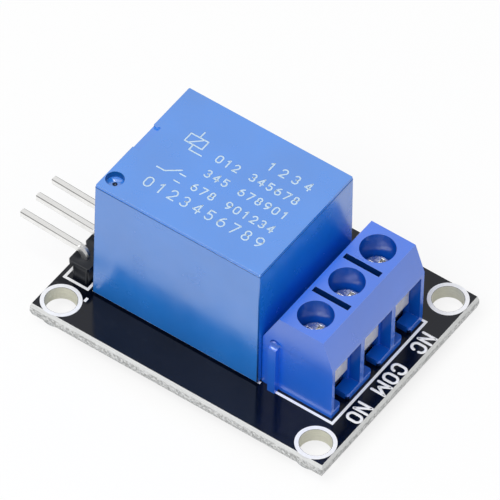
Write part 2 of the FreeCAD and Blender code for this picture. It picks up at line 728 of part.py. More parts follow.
def build_terminal_housing():
    """Moulded three-way block: wells, wire mouths, key slots and a side rail."""
    body = new_body("terminal_housing")
    profile = new_sketch(body, "XZ_Plane", "block_profile", "-terminal_y")
    back = f"({TERMINAL_X} - block_back)"
    front = f"({TERMINAL_X} + block_front)"
    polygon(profile, [
        (back, BOARD_TOP),
        (front, BOARD_TOP),
        (front, f"{BOARD_TOP} + mouth_height + brow_lip"),
        (f"{TERMINAL_X} + crown_front", BLOCK_TOP),
        (f"{TERMINAL_X} - crown_back", BLOCK_TOP),
        (back, f"{BOARD_TOP} + shoulder_height"),
    ])
    pad(body, profile, BLOCK_WIDTH, side="Symmetric")

    near_end = f"(terminal_y - {BLOCK_WIDTH} / 2)"
    mouths = new_sketch(body, "YZ_Plane", "block_mouths", front)
    for pole in range(3):
        reach = ["(pole_pitch - divider) / 2", "(pole_pitch - divider) / 2"]
        if pole == 0:
            reach[0] = f"({BLOCK_WIDTH} / 2 - pole_pitch - end_wall)"
        if pole == 2:
            reach[1] = f"({BLOCK_WIDTH} / 2 - pole_pitch - end_wall)"
        rectangle(mouths, (f"{pole_y(pole)} - {reach[0]}", f"{BOARD_TOP} + sill_height"),
                  (f"{pole_y(pole)} + {reach[1]}", f"{BOARD_TOP} + mouth_height"))
    pocket(body, mouths, "mouth_depth")

    wells = new_sketch(body, "XY_Plane", "block_wells", BLOCK_TOP)
    chambers = new_sketch(body, "XY_Plane", "block_chambers", BOARD_TOP)
    guards = new_sketch(body, "XY_Plane", "block_guard_slots", f"{BOARD_TOP} + sill_height")
    sills = new_sketch(body, "XY_Plane", "block_sill_slots", BOARD_TOP)
    chamber_back = f"({TERMINAL_X} - chamber_back)"
    for pole in range(3):
        middle = pole_y(pole)
        half = "chamber_width / 2"
        circle(wells, (TERMINAL_X, middle), "screw_head_radius + well_gap")
        rectangle(chambers, (chamber_back, f"{middle} - {half}"),
                  (f"{GUARD_BACK} + metal_gap", f"{middle} + {half}"))
        rectangle(guards, (f"{GUARD_BACK} - metal_gap", f"{middle} - {half}"),
                  (f"{MOUTH_PLANE} + metal_gap", f"{middle} + {half}"))
        rectangle(sills, (f"{GUARD_BACK}", f"{middle} + sill_slot_offset - sill_slot_width / 2"),
                  (f"{front} + metal_gap", f"{middle} + sill_slot_offset + sill_slot_width / 2"))
    pocket(body, wells, f"{BLOCK_TOP} - {WELL_FLOOR}")
    pocket(body, chambers, f"{WELL_FLOOR} - {BOARD_TOP}", reverse=True)
    pocket(body, guards, "guard_top - sill_height + screw_lift + metal_gap", reverse=True)
    pocket(body, sills, "sill_height", reverse=True)

    keys = new_sketch(body, "XY_Plane", "block_key_slots", BLOCK_TOP)
    for side in ("-", "+"):
        middle = f"(terminal_y {side} pole_pitch / 2)"
        rectangle(keys, (f"{TERMINAL_X} - key_slot_back", f"{middle} - key_slot_width / 2"),
                  (f"{TERMINAL_X} + key_slot_front", f"{middle} + key_slot_width / 2"))
    pocket(body, keys, "key_slot_depth")

    dress(body, "Fillet", "Radius", "sill_corner", sill_upright)
    build_housing_rail(body, front)
    sub_part(body, "terminal_housing")


def sill_upright(edge, whole):
    """A front corner of a sill, beside its slot."""
    at_front = edge.XMin > whole.XMax - 1e-6 and edge.YLength < 1e-6
    return at_front and edge.ZMin < whole.ZMin + 1e-6 and edge.ZLength < amount("sill_height") + 1e-6


def build_housing_rail(body, front):
    """Side rail that joins blocks in a row, its groove at the far end, and the sunk near skirt."""
    near_end = f"(terminal_y - {BLOCK_WIDTH} / 2)"
    far_end = f"(terminal_y + {BLOCK_WIDTH} / 2)"
    left = f"({TERMINAL_X} - rail_back)"
    right = f"({left} + rail_width)"
    top = f"({BOARD_TOP} + rail_height)"
    rail = new_sketch(body, "XZ_Plane", "block_rail", f"-{near_end}")
    rectangle(rail, (left, BOARD_TOP), (right, top))
    pad(body, rail, "rail_reach")
    hole = new_sketch(body, "XZ_Plane", "block_rail_pocket", f"-{near_end}")
    rounded_top(hole, (f"{left} - rail_pocket_margin", top),
                (f"{right} + rail_pocket_margin", f"{top} + rail_pocket_height"))
    pocket(body, hole, "rail_pocket_depth")
    groove = new_sketch(body, "XZ_Plane", "block_groove", f"-{far_end}")
    rectangle(groove, (f"{left} - rail_clearance", BOARD_TOP),
              (f"{right} + rail_clearance", f"{top} + rail_clearance"))
    pocket(body, groove, "rail_reach + rail_clearance", reverse=True)
    skirt = new_sketch(body, "XZ_Plane", "block_skirt", f"-{near_end}")
    rectangle(skirt, (right, BOARD_TOP), (front, f"{BOARD_TOP} + skirt_height"))
    pocket(body, skirt, "skirt_inset")


def build_terminal_contact(pole):
    """Folded contact: floor, back and threaded top, with its board pin."""
    body = new_body(f"contact_{pole + 1}")
    section = new_sketch(body, "XZ_Plane", f"contact_section_{pole}", f"-{pole_y(pole)}")
    outer = CONTACT_BACK
    inner = f"({CONTACT_BACK} + contact_plate)"
    front = f"({GUARD_BACK} - 2 * metal_gap)"
    floor = f"({BOARD_TOP} + contact_floor)"
    polygon(section, [
        (outer, floor), (front, floor), (front, f"{floor} + contact_plate"),
        (inner, f"{floor} + contact_plate"), (inner, NUT_BOTTOM), (front, NUT_BOTTOM),
        (front, NUT_TOP), (outer, NUT_TOP),
    ])
    pad(body, section, "chamber_width - 2 * contact_side_gap", side="Symmetric")
    tapped = new_sketch(body, "XY_Plane", f"contact_hole_{pole}", NUT_TOP)
    circle(tapped, (TERMINAL_X, pole_y(pole)), "screw_radius + screw_clearance")
    pocket(body, tapped, "nut_thickness")
    tail = new_sketch(body, "XY_Plane", f"contact_tail_{pole}", TAIL_TIP)
    middle = pole_y(pole)
    rectangle(tail, (f"{TERMINAL_X} - pin_length_x / 2", f"{middle} - pin_width_y / 2"),
              (f"{TERMINAL_X} + pin_length_x / 2", f"{middle} + pin_width_y / 2"))
    pad(body, tail, f"tail_length + {floor}")
    sub_part(body, f"terminal_contact_{pole + 1}")


def build_terminal_guard(pole):
    """Spring strip that the screw's tip presses on the wire."""
    body = new_body(f"guard_{pole + 1}")
    section = new_sketch(body, "XZ_Plane", f"guard_section_{pole}", f"-{pole_y(pole)}")
    low = f"({BOARD_TOP} + guard_foot)"
    tail_end = f"({CONTACT_BACK} + contact_plate + guard_end_gap)"
    polygon(section, [
        (tail_end, low), (MOUTH_PLANE, low), (MOUTH_PLANE, f"{BOARD_TOP} + guard_top"),
        (GUARD_BACK, f"{BOARD_TOP} + guard_top"), (GUARD_BACK, FOOT_FACE), (tail_end, FOOT_FACE),
    ])
    pad(body, section, "chamber_width - 2 * guard_side_gap", side="Symmetric")
    dress(body, "Fillet", "Radius", "guard_bend", lower_front)
    sub_part(body, f"terminal_guard_{pole + 1}")


def lower_front(edge, whole):
    """The cross edge where the strip's face turns into its foot."""
    return edge.XMin > whole.XMax - 1e-6 and edge.ZMax < whole.ZMin + 1e-6


def build_terminal_screw(pole):
    """Pan-head clamp screw with a crossed drive."""
    body = new_body(f"screw_{pole + 1}")
    section = new_sketch(body, "XZ_Plane", f"screw_section_{pole}", f"-{pole_y(pole)}")
    under_head = f"({SCREW_TOP} - screw_head_height)"
    polygon(section, [
        (TERMINAL_X, FOOT_FACE), (f"{TERMINAL_X} + screw_radius", FOOT_FACE),
        (f"{TERMINAL_X} + screw_radius", under_head), (f"{TERMINAL_X} + screw_head_radius", under_head),
        (f"{TERMINAL_X} + screw_head_radius", f"{SCREW_TOP} - screw_head_edge"),
        (f"{TERMINAL_X} + screw_head_radius - screw_head_edge", SCREW_TOP), (TERMINAL_X, SCREW_TOP),
    ])
    turned = body.newObject("PartDesign::Revolution", f"screw_turned_{pole}")
    turned.Profile = section
    axis = next(index for index in range(section.GeometryCount)
                if abs(section.Geometry[index].StartPoint.x - section.Geometry[index].EndPoint.x) < 1e-9
                and abs(section.Geometry[index].StartPoint.x - amount(TERMINAL_X)) < 1e-9)
    turned.ReferenceAxis = (section, [f"Edge{axis + 1}"])
    turned.Angle = 360
    drive = new_sketch(body, "XY_Plane", f"screw_drive_{pole}", SCREW_TOP)
    half = "drive_width / 2"
    reach = "(screw_head_radius - screw_head_edge - drive_width / 2)"
    quarter = [(reach, half), (half, half), (half, reach)]
    cross = []
    for side_x, side_y in (("-", "-"), ("+", "-"), ("+", "+"), ("-", "+")):
        corners = quarter if side_x == side_y else quarter[::-1]
        cross += [(f"{TERMINAL_X} {side_x} {across}", f"{pole_y(pole)} {side_y} {along}")
                  for across, along in corners]
    polygon(drive, cross)
    pocket(body, drive, "drive_depth")
    sub_part(body, f"terminal_screw_{pole + 1}")


def build_header():
    """Three-way insulator with notched units, and its bent pins."""
    body = new_body("header_base")
    foot = new_sketch(body, "XY_Plane", "header_foot", BOARD_TOP)
    polygon(foot, header_outline("header_relief"))
    pad(body, foot, "header_relief_height")
    cap = new_sketch(body, "XY_Plane", "header_cap", f"{BOARD_TOP} + header_relief_height")
    polygon(cap, header_outline("0"))
    pad(body, cap, "header_height - header_relief_height")
    bores = new_sketch(body, "XY_Plane", "header_bores", BOARD_TOP)
    reach = "(pin_size / 2 + pin_bore_gap)"
    for pin in range(3):
        rectangle(bores, (f"{HEADER_X} - {reach}", f"{header_pin_y(pin)} - {reach}"),
                  (f"{HEADER_X} + {reach}", f"{header_pin_y(pin)} + {reach}"))
    pocket(body, bores)
    sub_part(body, "header_base")
    for pin in range(3):
        build_header_pin(pin)


def header_outline(inset):
    """The insulator's outline with a V between units, moved in from its faces."""
    unit_y = [f"({HEADER_Y} + {2 * step - 3} * header_pitch / 2)" for step in range(4)]
    unit_y[0] = f"({unit_y[0]} + {inset})"
    unit_y[3] = f"({unit_y[3]} - {inset})"
    left = f"({HEADER_X} - header_width / 2 + {inset})"
    right = f"({HEADER_X} + header_width / 2 - {inset})"
    points = []
    for side, forward, order in ((right, "+", unit_y), (left, "-", unit_y[::-1])):
        for place in order:
            depth = "header_end_notch" if place in (order[0], order[-1]) else "header_notch"
            if place != order[0]:
                points.append((side, f"{place} {opposite(forward)} {depth}"))
            points.append((f"{side} {opposite(forward)} {depth}", place))
            if place != order[-1]:
                points.append((side, f"{place} {forward} {depth}"))
    return points


def build_header_pin(pin):
    """Square pin that rises from its tail and bends out over the board's edge."""
    body = new_body(f"pin_{pin + 1}")
    half = "pin_size / 2"
    middle = PIN_HEIGHT
    section = new_sketch(body, "XZ_Plane", f"pin_section_{pin}")
    polygon(section, [
        (f"-{half}", TAIL_TIP), (half, TAIL_TIP), (half, f"{middle} + {half}"),
        ("-pin_reach", f"{middle} + {half}"), ("-pin_reach", f"{middle} - {half}"),
        (f"-{half}", f"{middle} - {half}"),
    ])
    pad(body, section, "pin_size", side="Symmetric")
    dress(body, "Fillet", "Radius", "pin_bend + pin_size", outer_bend)
    dress(body, "Fillet", "Radius", "pin_bend", inner_bend)
    dress(body, "Chamfer", "Size", "pin_bevel", far_end)
    bind(body, "Placement.Base.x", HEADER_X)
    bind(body, "Placement.Base.y", header_pin_y(pin))
    body.Placement.Rotation = FreeCAD.Rotation(FreeCAD.Vector(0, 0, 1), -amount("pin_splay"))
    sub_part(body, f"header_pin_{pin + 1}")


def outer_bend(edge, whole):
    """The cross edge at the outside of the pin's bend."""
    return edge.XMin > whole.XMax - 1e-6 and edge.ZMin > whole.ZMax - 1e-6


def inner_bend(edge, whole):
    """The cross edge at the inside of the pin's bend."""
    across = edge.XLength < 1e-6 and edge.ZLength < 1e-6
    inside = whole.XMin + 1e-3 < edge.XMin < whole.XMax - 1e-3 and edge.ZMin > whole.ZMin + 1e-3
    corner = abs(edge.ZMin - (whole.ZMax - amount("pin_size"))) < 1e-6
    return across and inside and corner and abs(edge.XMin + amount("pin_size") / 2) < 1e-6


def far_end(edge, whole):
    """The rim of the pin's free end."""
    return edge.XMax < whole.XMin + 1e-6


def build_small_parts():
    """Surface parts in a row behind the relay."""
    caps = []
    chip_half = "chip_length / 2"
    for node, step in (("base_resistor", 0), ("lamp_resistor", 1)):
        place = (f"({CHIP_X} + {step} * (chip_length + chip_gap))", ROW_Y)
        sub_part(centred_box(f"{node}_chip", place, ("chip_length - 2 * cap_length", "chip_width"),
                             BOARD_TOP, f"{BOARD_TOP} + chip_height"), node)
        for side in ("-", "+"):
            middle = (f"({place[0]} {side} ({chip_half} - cap_length / 2))", ROW_Y)
            caps.append(centred_box(f"{node}_cap", middle, ("cap_length", "chip_width"),
                                    BOARD_TOP, f"{BOARD_TOP} + chip_height"))
    sub_part(group("caps", caps), "resistor_caps")

    for node, step in (("power_led", 2), ("status_led", 3)):
        place = (f"({CHIP_X} + {step} * (chip_length + chip_gap))", ROW_Y)
        base_top = f"{BOARD_TOP} + led_base"
        sub_part(centred_box(f"{node}_seat", place, ("chip_length", "chip_width"), BOARD_TOP, base_top),
                 f"{node}_base")
        sub_part(centred_box(f"{node}_dome", place, ("led_lens_length", "chip_width"),
                             base_top, f"{base_top} + led_lens_height"), f"{node}_lens")
    build_transistor()
    build_diode()


def build_transistor():
    """Three-lead switching transistor."""
    place = (TRANSISTOR_X, ROW_Y)
    low = f"({BOARD_TOP} + transistor_lift)"
    sub_part(centred_box("transistor_block", place, ("transistor_length", "transistor_width"),
                         low, f"{BOARD_TOP} + transistor_height"), "transistor_body")
    leads = []
    spots = (("-transistor_pitch", "-"), ("transistor_pitch", "-"), ("0", "+"))
    for offset, side in spots:
        start = f"({place[1]} {side} transistor_width / 2)"
        knee = f"({start} {side} lead_reach)"
        toe = f"({knee} {side} lead_foot)"
        across = (f"{place[0]} + {offset} - lead_width / 2", f"{place[0]} + {offset} + lead_width / 2")
        leads.append(lead_strip(across, (start, knee, toe), side))
    sub_part(group("transistor_legs", leads), "transistor_leads")


def lead_strip(across, stations, side):
    """A lead that leaves the body level, drops and ends in a flat foot."""
    start, knee, toe = stations
    top = f"({BOARD_TOP} + lead_height)"
    inner_knee = f"({knee} {opposite(side)} lead_thickness)"
    spans = (
        (start, knee, f"{top} - lead_thickness", top),
        (inner_knee, knee, BOARD_TOP, top),
        (inner_knee, toe, BOARD_TOP, f"{BOARD_TOP} + lead_thickness"),
    )
    pieces = []
    for near, far, low, high in spans:
        ends = (near, far) if side == "+" else (far, near)
        pieces.append(box("lead_span", (across[0], ends[0], low), (across[1], ends[1], high)))
    return fuse("lead", pieces)


def build_diode():
    """Flyback diode with a tapered moulded body and wrapped leads."""
    place = (DIODE_X, ROW_Y)
    body = new_body("diode")
    low = f"({BOARD_TOP} + diode_lift)"
    outline = new_sketch(body, "XY_Plane", "diode_outline", low)
    rectangle(outline, (f"{place[0]} - diode_length / 2", f"{place[1]} - diode_width / 2"),
              (f"{place[0]} + diode_length / 2", f"{place[1]} + diode_width / 2"))
    pad(body, outline, "diode_height")
    dress(body, "Chamfer", "Size", "diode_taper", on_top)
    sub_part(body, "diode_body")
    leads = []
    top = f"({low} + diode_height / 2)"
    for side in ("-", "+"):
        face = f"({place[0]} {side} diode_length / 2)"
        outer = f"({face} {side} diode_lead_thickness)"
        inner = f"({face} {opposite(side)} diode_lead_reach)"
        foot_top = f"{BOARD_TOP} + diode_lead_thickness"
        spans = ((face, outer, BOARD_TOP, top), (inner, outer, BOARD_TOP, foot_top))
        pieces = []
        for near, far, bottom, high in spans:
            ends = (near, far) if side == "+" else (far, near)
            pieces.append(box("diode_span", (ends[0], f"{place[1]} - diode_lead_width / 2", bottom),
                              (ends[1], f"{place[1]} + diode_lead_width / 2", high)))
        leads.append(fuse("diode_lead", pieces))
    sub_part(group("diode_legs", leads), "diode_leads")


def check_and_export():
    """Refuse failed or empty shapes, then write one file for each piece."""
    doc.recompute()
    for item in doc.Objects:
        if {"Invalid", "Error"} & set(item.State):
            raise RuntimeError(f"{item.Name} failed: {item.State}")
    os.makedirs("parts", exist_ok=True)
    for piece in SUB_PARTS:
        if piece.Shape.isNull() or not piece.Shape.isValid():
            raise RuntimeError(f"{piece.Label} has no valid shape")
        piece.Shape.exportStep(f"parts/{piece.Label}.step")


build_board()
build_solder()
build_relay_case()
build_relay_base()
build_relay_magnet()
build_relay_armature()
build_relay_leads()
build_terminal_housing()
for terminal_pole in range(3):
    build_terminal_contact(terminal_pole)
    build_terminal_guard(terminal_pole)
    build_terminal_screw(terminal_pole)
build_header()
build_small_parts()
check_and_export()
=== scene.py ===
"""Looks of a single-channel relay module board, laid out as an add-on and run as a script.

Lengths are metres. +X points to the screw terminals, -X to the pin header, and +Z is up.
"""
import json
import math

import bmesh
import bpy
from bpy.props import FloatProperty, FloatVectorProperty, PointerProperty
from mathutils import Matrix, Vector


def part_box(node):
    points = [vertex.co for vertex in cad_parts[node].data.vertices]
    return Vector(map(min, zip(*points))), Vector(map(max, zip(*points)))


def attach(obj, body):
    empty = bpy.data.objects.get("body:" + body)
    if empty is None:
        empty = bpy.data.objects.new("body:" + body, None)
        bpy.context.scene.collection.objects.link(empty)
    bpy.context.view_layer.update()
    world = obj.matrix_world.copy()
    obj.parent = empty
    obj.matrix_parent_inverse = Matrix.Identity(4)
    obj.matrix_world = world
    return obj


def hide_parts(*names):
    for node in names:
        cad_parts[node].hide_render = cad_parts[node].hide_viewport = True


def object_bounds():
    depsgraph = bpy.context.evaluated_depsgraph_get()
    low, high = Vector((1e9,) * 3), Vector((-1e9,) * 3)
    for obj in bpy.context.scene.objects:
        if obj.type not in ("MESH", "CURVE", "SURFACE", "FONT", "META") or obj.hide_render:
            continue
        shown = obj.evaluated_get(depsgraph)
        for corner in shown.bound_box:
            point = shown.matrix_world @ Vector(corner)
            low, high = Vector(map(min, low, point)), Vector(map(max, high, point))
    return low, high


bl_info = {
    "name": "Relay module board",
    "version": (1, 0, 0),
    "blender": (4, 5, 0),
    "location": "3D View > Sidebar > Relay board",
    "description": "Finishes, print and rounded mouldings for a relay module board",
    "category": "Object",
}

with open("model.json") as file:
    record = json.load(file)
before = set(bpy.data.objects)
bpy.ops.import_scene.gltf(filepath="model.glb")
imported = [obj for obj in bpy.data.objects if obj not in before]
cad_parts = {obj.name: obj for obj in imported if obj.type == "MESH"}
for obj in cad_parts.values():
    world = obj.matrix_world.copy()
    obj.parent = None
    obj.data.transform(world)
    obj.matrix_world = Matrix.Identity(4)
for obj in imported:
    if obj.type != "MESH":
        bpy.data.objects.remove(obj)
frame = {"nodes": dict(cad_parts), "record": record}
CAD_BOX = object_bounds()

MM = 0.001
MERGE = 1e-7
SHARP_EDGE = math.radians(35)
FLAT_FACE = math.radians(0.5)
ROOM = 2.4  # radii that an edge must have in length, and a face in width, to be rounded
EDGE_SEGMENTS = 3
POLES = (1, 2, 3)
WHITE = (1.0, 1.0, 1.0, 1.0)

BOARD_LOW, BOARD_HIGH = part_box("circuit_board")
COVER_LOW, COVER_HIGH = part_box("relay_case")
BLOCK_LOW, BLOCK_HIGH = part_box("terminal_housing")
HEADER_LOW, HEADER_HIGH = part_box("header_base")


def colour(name, description, default):
    """A colour property in the scene's linear units."""
    return FloatVectorProperty(name=name, description=description, default=default, size=3,
                               subtype="COLOR", min=0.0, max=1.0)


def number(name, description, default, **more):
    """A plain number property."""
    return FloatProperty(name=name, description=description, default=default, **more)


def length(name, description, default):
    """A length property."""
    return number(name, description, default, unit="LENGTH", precision=5)


def angle(name, description, degrees):
    """An angle property, with its default in degrees."""
    return number(name, description, math.radians(degrees), subtype="ANGLE")


class BoardSettings(bpy.types.PropertyGroup):
    """Sizes and colours of the circuit board and its print."""
    mask: colour("Solder mask", "Colour of the board's lacquer", (0.0012, 0.0026, 0.0078))
    laminate: colour("Laminate", "Colour of the board's cut edges", (0.90, 0.91, 0.90))
    bore: colour("Hole walls", "Colour of the laminate inside the mounting holes", (0.86, 0.85, 0.72))
    ink: colour("Ink", "Colour of the board's print", (0.98, 0.985, 1.0))
    ink_height: length("Ink height", "How far the print stands on the lacquer", 0.02 * MM)
    outline_width: length("Outline width", "Width of the printed outlines", 0.28 * MM)
    ring_width: length("Ring width", "Width of the printed ring at each mounting hole", 0.44 * MM)
    label_height: length("Label height", "Height of the terminal labels", 1.45 * MM)
    label_stroke: length("Label stroke", "Stroke width of the terminal labels", 0.32 * MM)
    pad_width: length("Pad width", "Width of the tinned ring around each lead", 0.55 * MM)
    load_track: length("Load track", "Width of the contact tracks on the underside", 2.4 * MM)
    signal_track: length("Signal track", "Width of the signal tracks on the underside", 0.5 * MM)


class RelaySettings(bpy.types.PropertyGroup):
    """Sizes and colours of the relay."""
    plastic: colour("Cover", "Colour of the moulded cover", (0.008, 0.215, 0.76))
    ink: colour("Print", "Colour of the print on the cover", (0.62, 0.80, 0.97))
    edge_radius: length("Edge radius", "Rounding of the cover's edges", 0.03 * MM)
    stroke: length("Print stroke", "Stroke width of the print", 0.17 * MM)
    copper: colour("Winding", "Colour of the enamelled wire", (0.55, 0.18, 0.06))
    wire: length("Wire pitch", "Spacing of the winding's turns", 0.12 * MM)


class TerminalSettings(bpy.types.PropertyGroup):
    """Sizes and colours of the screw terminal block."""
    plastic: colour("Housing", "Colour of the moulded housing", (0.006, 0.150, 0.80))
    edge_radius: length("Edge radius", "Rounding of the housing's edges", 0.09 * MM)
    metal: colour("Clamp metal", "Colour of the plated screws and strips", (0.80, 0.79, 0.76))
    metal_radius: length("Metal edge radius", "Rounding of the metal's edges", 0.04 * MM)


class HeaderSettings(bpy.types.PropertyGroup):
    """Sizes and colours of the pin header."""
    plastic: colour("Insulator", "Colour of the moulded insulator", (0.005, 0.007, 0.012))
    metal: colour("Pins", "Colour of the tinned pins", (0.95, 0.945, 0.93))
    edge_radius: length("Edge radius", "Rounding of the insulator's edges", 0.06 * MM)
    pin_radius: length("Pin edge radius", "Rounding of the pins' edges", 0.08 * MM)


class StageSettings(bpy.types.PropertyGroup):
    """Camera, lamps and floor."""
    azimuth: angle("Azimuth", "Camera's turn from the -Y side", 34.226)
    elevation: angle("Elevation", "Camera's height angle", 49.412)
    roll: angle("Roll", "Camera's turn about its own axis", 1.534)
    distance: length("Distance", "Camera's distance from the point that it looks at", 0.8873)
    target: FloatVectorProperty(name="Target", description="Point that the camera looks at", size=3,
                                default=(-1.564 * MM, 1.262 * MM, 6.601 * MM), unit="LENGTH")
    lens: number("Lens", "Focal length in millimetres on a 36 mm sensor", 673.9)
    key_power: number("Key lamp", "Power of the large lamp", 3.6, unit="POWER")
    fill_power: number("Fill lamp", "Power of the weak lamp at the terminals' side", 0.25, unit="POWER")
    sky: number("Sky", "Strength of the even light from all round", 0.45)
    floor: colour("Floor", "Colour of the floor", (0.62, 0.62, 0.62))
    floor_glow: number("Floor glow", "Share of plain white in the seen floor", 0.82, subtype="FACTOR")


SETTINGS = {
    "relay_board": BoardSettings,
    "relay_board_relay": RelaySettings,
    "relay_board_terminal": TerminalSettings,
    "relay_board_header": HeaderSettings,
    "relay_board_stage": StageSettings,
}


# Materials


def fill(tree, node, inputs):
    """Join each named or numbered input of a node to a socket, or set it to a value."""
    for name, value in inputs.items():
        if isinstance(value, bpy.types.NodeSocket):
            tree.links.new(value, node.inputs[name])
        else:
            node.inputs[name].default_value = value


def add_node(tree, kind, inputs=None, **settings):
    """Add a node with its own settings and its inputs."""
    node = tree.nodes.new("ShaderNode" + kind)
    for name, value in settings.items():
        setattr(node, name, value)
    fill(tree, node, inputs or {})
    return node


def calculate(tree, operation, *values):
    """The result of a calculation on numbers and sockets."""
    return add_node(tree, "Math", dict(enumerate(values)), operation=operation).outputs["Value"]


class Finish:
    """A new material with a Principled shader and short ways to add its nodes."""

    def __init__(self, name, base, rough, metal=0.0, ior=1.5):
        self.material = bpy.data.materials.new(name)
        self.material.use_nodes = True
        self.tree = self.material.node_tree
        self.shader = self.tree.nodes["Principled BSDF"]
        self.set({"Base Color": (*base, 1.0), "Roughness": rough, "Metallic": metal, "IOR": ior})
        self.place = self.add("TexCoord").outputs
        scale = self.add("Mapping", {"Vector": self.place["Object"], "Scale": (1 / MM,) * 3})
        self.millimetres = scale.outputs["Vector"]

    def add(self, kind, inputs=None, **settings):
        """Add a node to the material."""
        return add_node(self.tree, kind, inputs, **settings)

    def set(self, inputs):
        """Set or drive the shader's own sockets by name."""
        fill(self.tree, self.shader, inputs)

    def split(self, vector):
        """The three parts of a vector, by axis."""
        return self.add("SeparateXYZ", {"Vector": vector}).outputs

    def stretched(self, scale):
        """Object coordinates in millimetres, stretched by a scale for each axis."""
        return self.add("Mapping", {"Vector": self.millimetres, "Scale": scale}).outputs["Vector"]

    def noise(self, per_mm, detail=2.0, vector=None, roughness=0.5):
        """A grey cloud pattern with so many cells in a millimetre."""
        inputs = {"Vector": vector or self.millimetres, "Scale": per_mm, "Detail": detail,
                  "Roughness": roughness}
        return self.add("TexNoise", inputs).outputs["Fac"]

    def mark(self, name):
        """A piece's own face mark: edge on its roundings, painted shade in its recesses, nothing elsewhere.
        """
        return self.add("Attribute", attribute_name=name).outputs["Fac"]

    def facing(self, axis):
        """How squarely the surface faces along an axis, either way, from nothing to one."""
        size = calculate(self.tree, "ABSOLUTE", self.split(self.place["Normal"])[axis])
        return self.spread(size, 0.0, 1.0, 0.6, 0.7)

    def spread(self, value, low, high, start=0.3, end=0.7):
        """Map the middle of a pattern onto a range."""
        inputs = {"Value": value, "From Min": start, "From Max": end, "To Min": low, "To Max": high}
        return self.add("MapRange", inputs).outputs["Result"]

    def blend(self, factor, first, second):
        """A number between two numbers or sockets."""
        return self.add("Mix", {"Factor": factor, "A": first, "B": second}).outputs["Result"]

    def mix(self, factor, first, second):
        """A colour between two colours or sockets."""
        first, second = (value if isinstance(value, bpy.types.NodeSocket) else (*value, 1.0)
                         for value in (first, second))
        inputs = {"Factor": factor, "A": first, "B": second}
        return self.add("Mix", inputs, data_type="RGBA").outputs["Result"]

    def mottled(self, pattern, tint, dark, light=1.0):
        """A colour that a pattern takes from one shade of a tint to another."""
        return self.mix(self.spread(pattern, 0.0, 1.0), shade(tint, dark), shade(tint, light))

    def sum(self, first, second, share=1.0):
        """One pattern plus a share of another."""
        return calculate(self.tree, "MULTIPLY_ADD", second, share, first)

    def colour(self, socket):
        """Drive the base colour."""
        self.set({"Base Color": socket})

    def roughness(self, pattern, low, high):
        """Let a pattern take the roughness from low to high."""
        self.set({"Roughness": self.spread(pattern, low, high)})

    def bump(self, height, depth, strength=1.0):
        """Roughen the surface by a pattern, depth in metres."""
        inputs = {"Height": height, "Distance": depth, "Strength": strength}
        self.set({"Normal": self.add("Bump", inputs).outputs["Normal"]})


def shade(tint, factor):
    """A colour made darker or lighter."""
    return tuple(min(1.0, channel * factor) for channel in tint)


# Colour factor of the darkest painted shade, in the recesses marked deepest.
DARKEST_PAINTED_SHADE = 0.08
# Colour factor of the painted shade along the rounded edges of drawn metal.
PAINTED_EDGE_SHADE = 0.30
LINES_ALONG = 0.4
LINES_ACROSS = 14.0
SCORE_TOP = (1.02, 1.14)  # heights in mm between which the torn score meets the cut edge
EDGE_BAND = 0.3 * MM
WAVE_LENGTH = 0.314  # of the wave pattern, in units, at a scale of one


def moulded_plastic(name, tint, rough, ior=1.5, grain=0.0012 * MM, edge=0.12):
    """Smooth plastic: faint flow marks, painted edge highlights, painted recess shade, uneven gloss, fine
    grain.
    """
    finish = Finish(name, tint, rough, ior=ior)
    flow = finish.mottled(finish.noise(0.12, 3.0), tint, 0.93, 1.07)
    # Painted highlight: the rounded edges are paled towards white by the share edge.
    edge_highlight = tuple(channel + edge * (1.0 - channel) for channel in tint)
    highlighted = finish.mix(finish.mark("edge"), flow, edge_highlight)
    # Painted shade: faces marked as recesses are darkened, as far as the darkest painted shade.
    finish.colour(finish.mix(finish.mark("painted_shade"), highlighted, shade(tint, DARKEST_PAINTED_SHADE)))
    finish.roughness(finish.noise(0.35, 4.0), rough - 0.04, rough + 0.06)
    finish.bump(finish.sum(finish.noise(5.0, 1.0), finish.noise(0.4, 1.0), 6.0), grain)
    return finish.material


def plated_metal(name, tint, rough, dent=0.004 * MM, per_mm=5.0, metal=1.0):
    """Plated metal: clouded gloss with small dents."""
    finish = Finish(name, tint, rough, metal=metal)
    finish.colour(finish.mottled(finish.noise(1.3, 4.0), tint, 0.86, 1.06))
    finish.roughness(finish.noise(3.0, 3.0), rough - 0.07, rough + 0.1)
    finish.bump(finish.noise(per_mm, 3.0), dent)
    return finish.material


def drawn_metal(name, tint, rough, direction, top=1.0):
    """Metal with fine lines along one axis, and painted shade on its edges and, by the share top, on level
    faces.
    """
    finish = Finish(name, tint, rough, metal=1.0)
    scale = tuple(LINES_ALONG if axis == direction else LINES_ACROSS for axis in "xyz")
    lines = finish.noise(1.0, 3.0, finish.stretched(scale))
    cloud = finish.mottled(finish.noise(0.9, 3.0), tint, 0.90)
    # Painted shade: level faces take the share top of the tint, and rounded edges a darker shade.
    level_faces_shaded = finish.mix(finish.facing("Z"), cloud, shade(tint, top))
    finish.colour(finish.mix(finish.mark("edge"), level_faces_shaded, shade(tint, PAINTED_EDGE_SHADE)))
    finish.roughness(lines, rough - 0.06, rough + 0.1)
    finish.bump(lines, 0.003 * MM)
    return finish.material


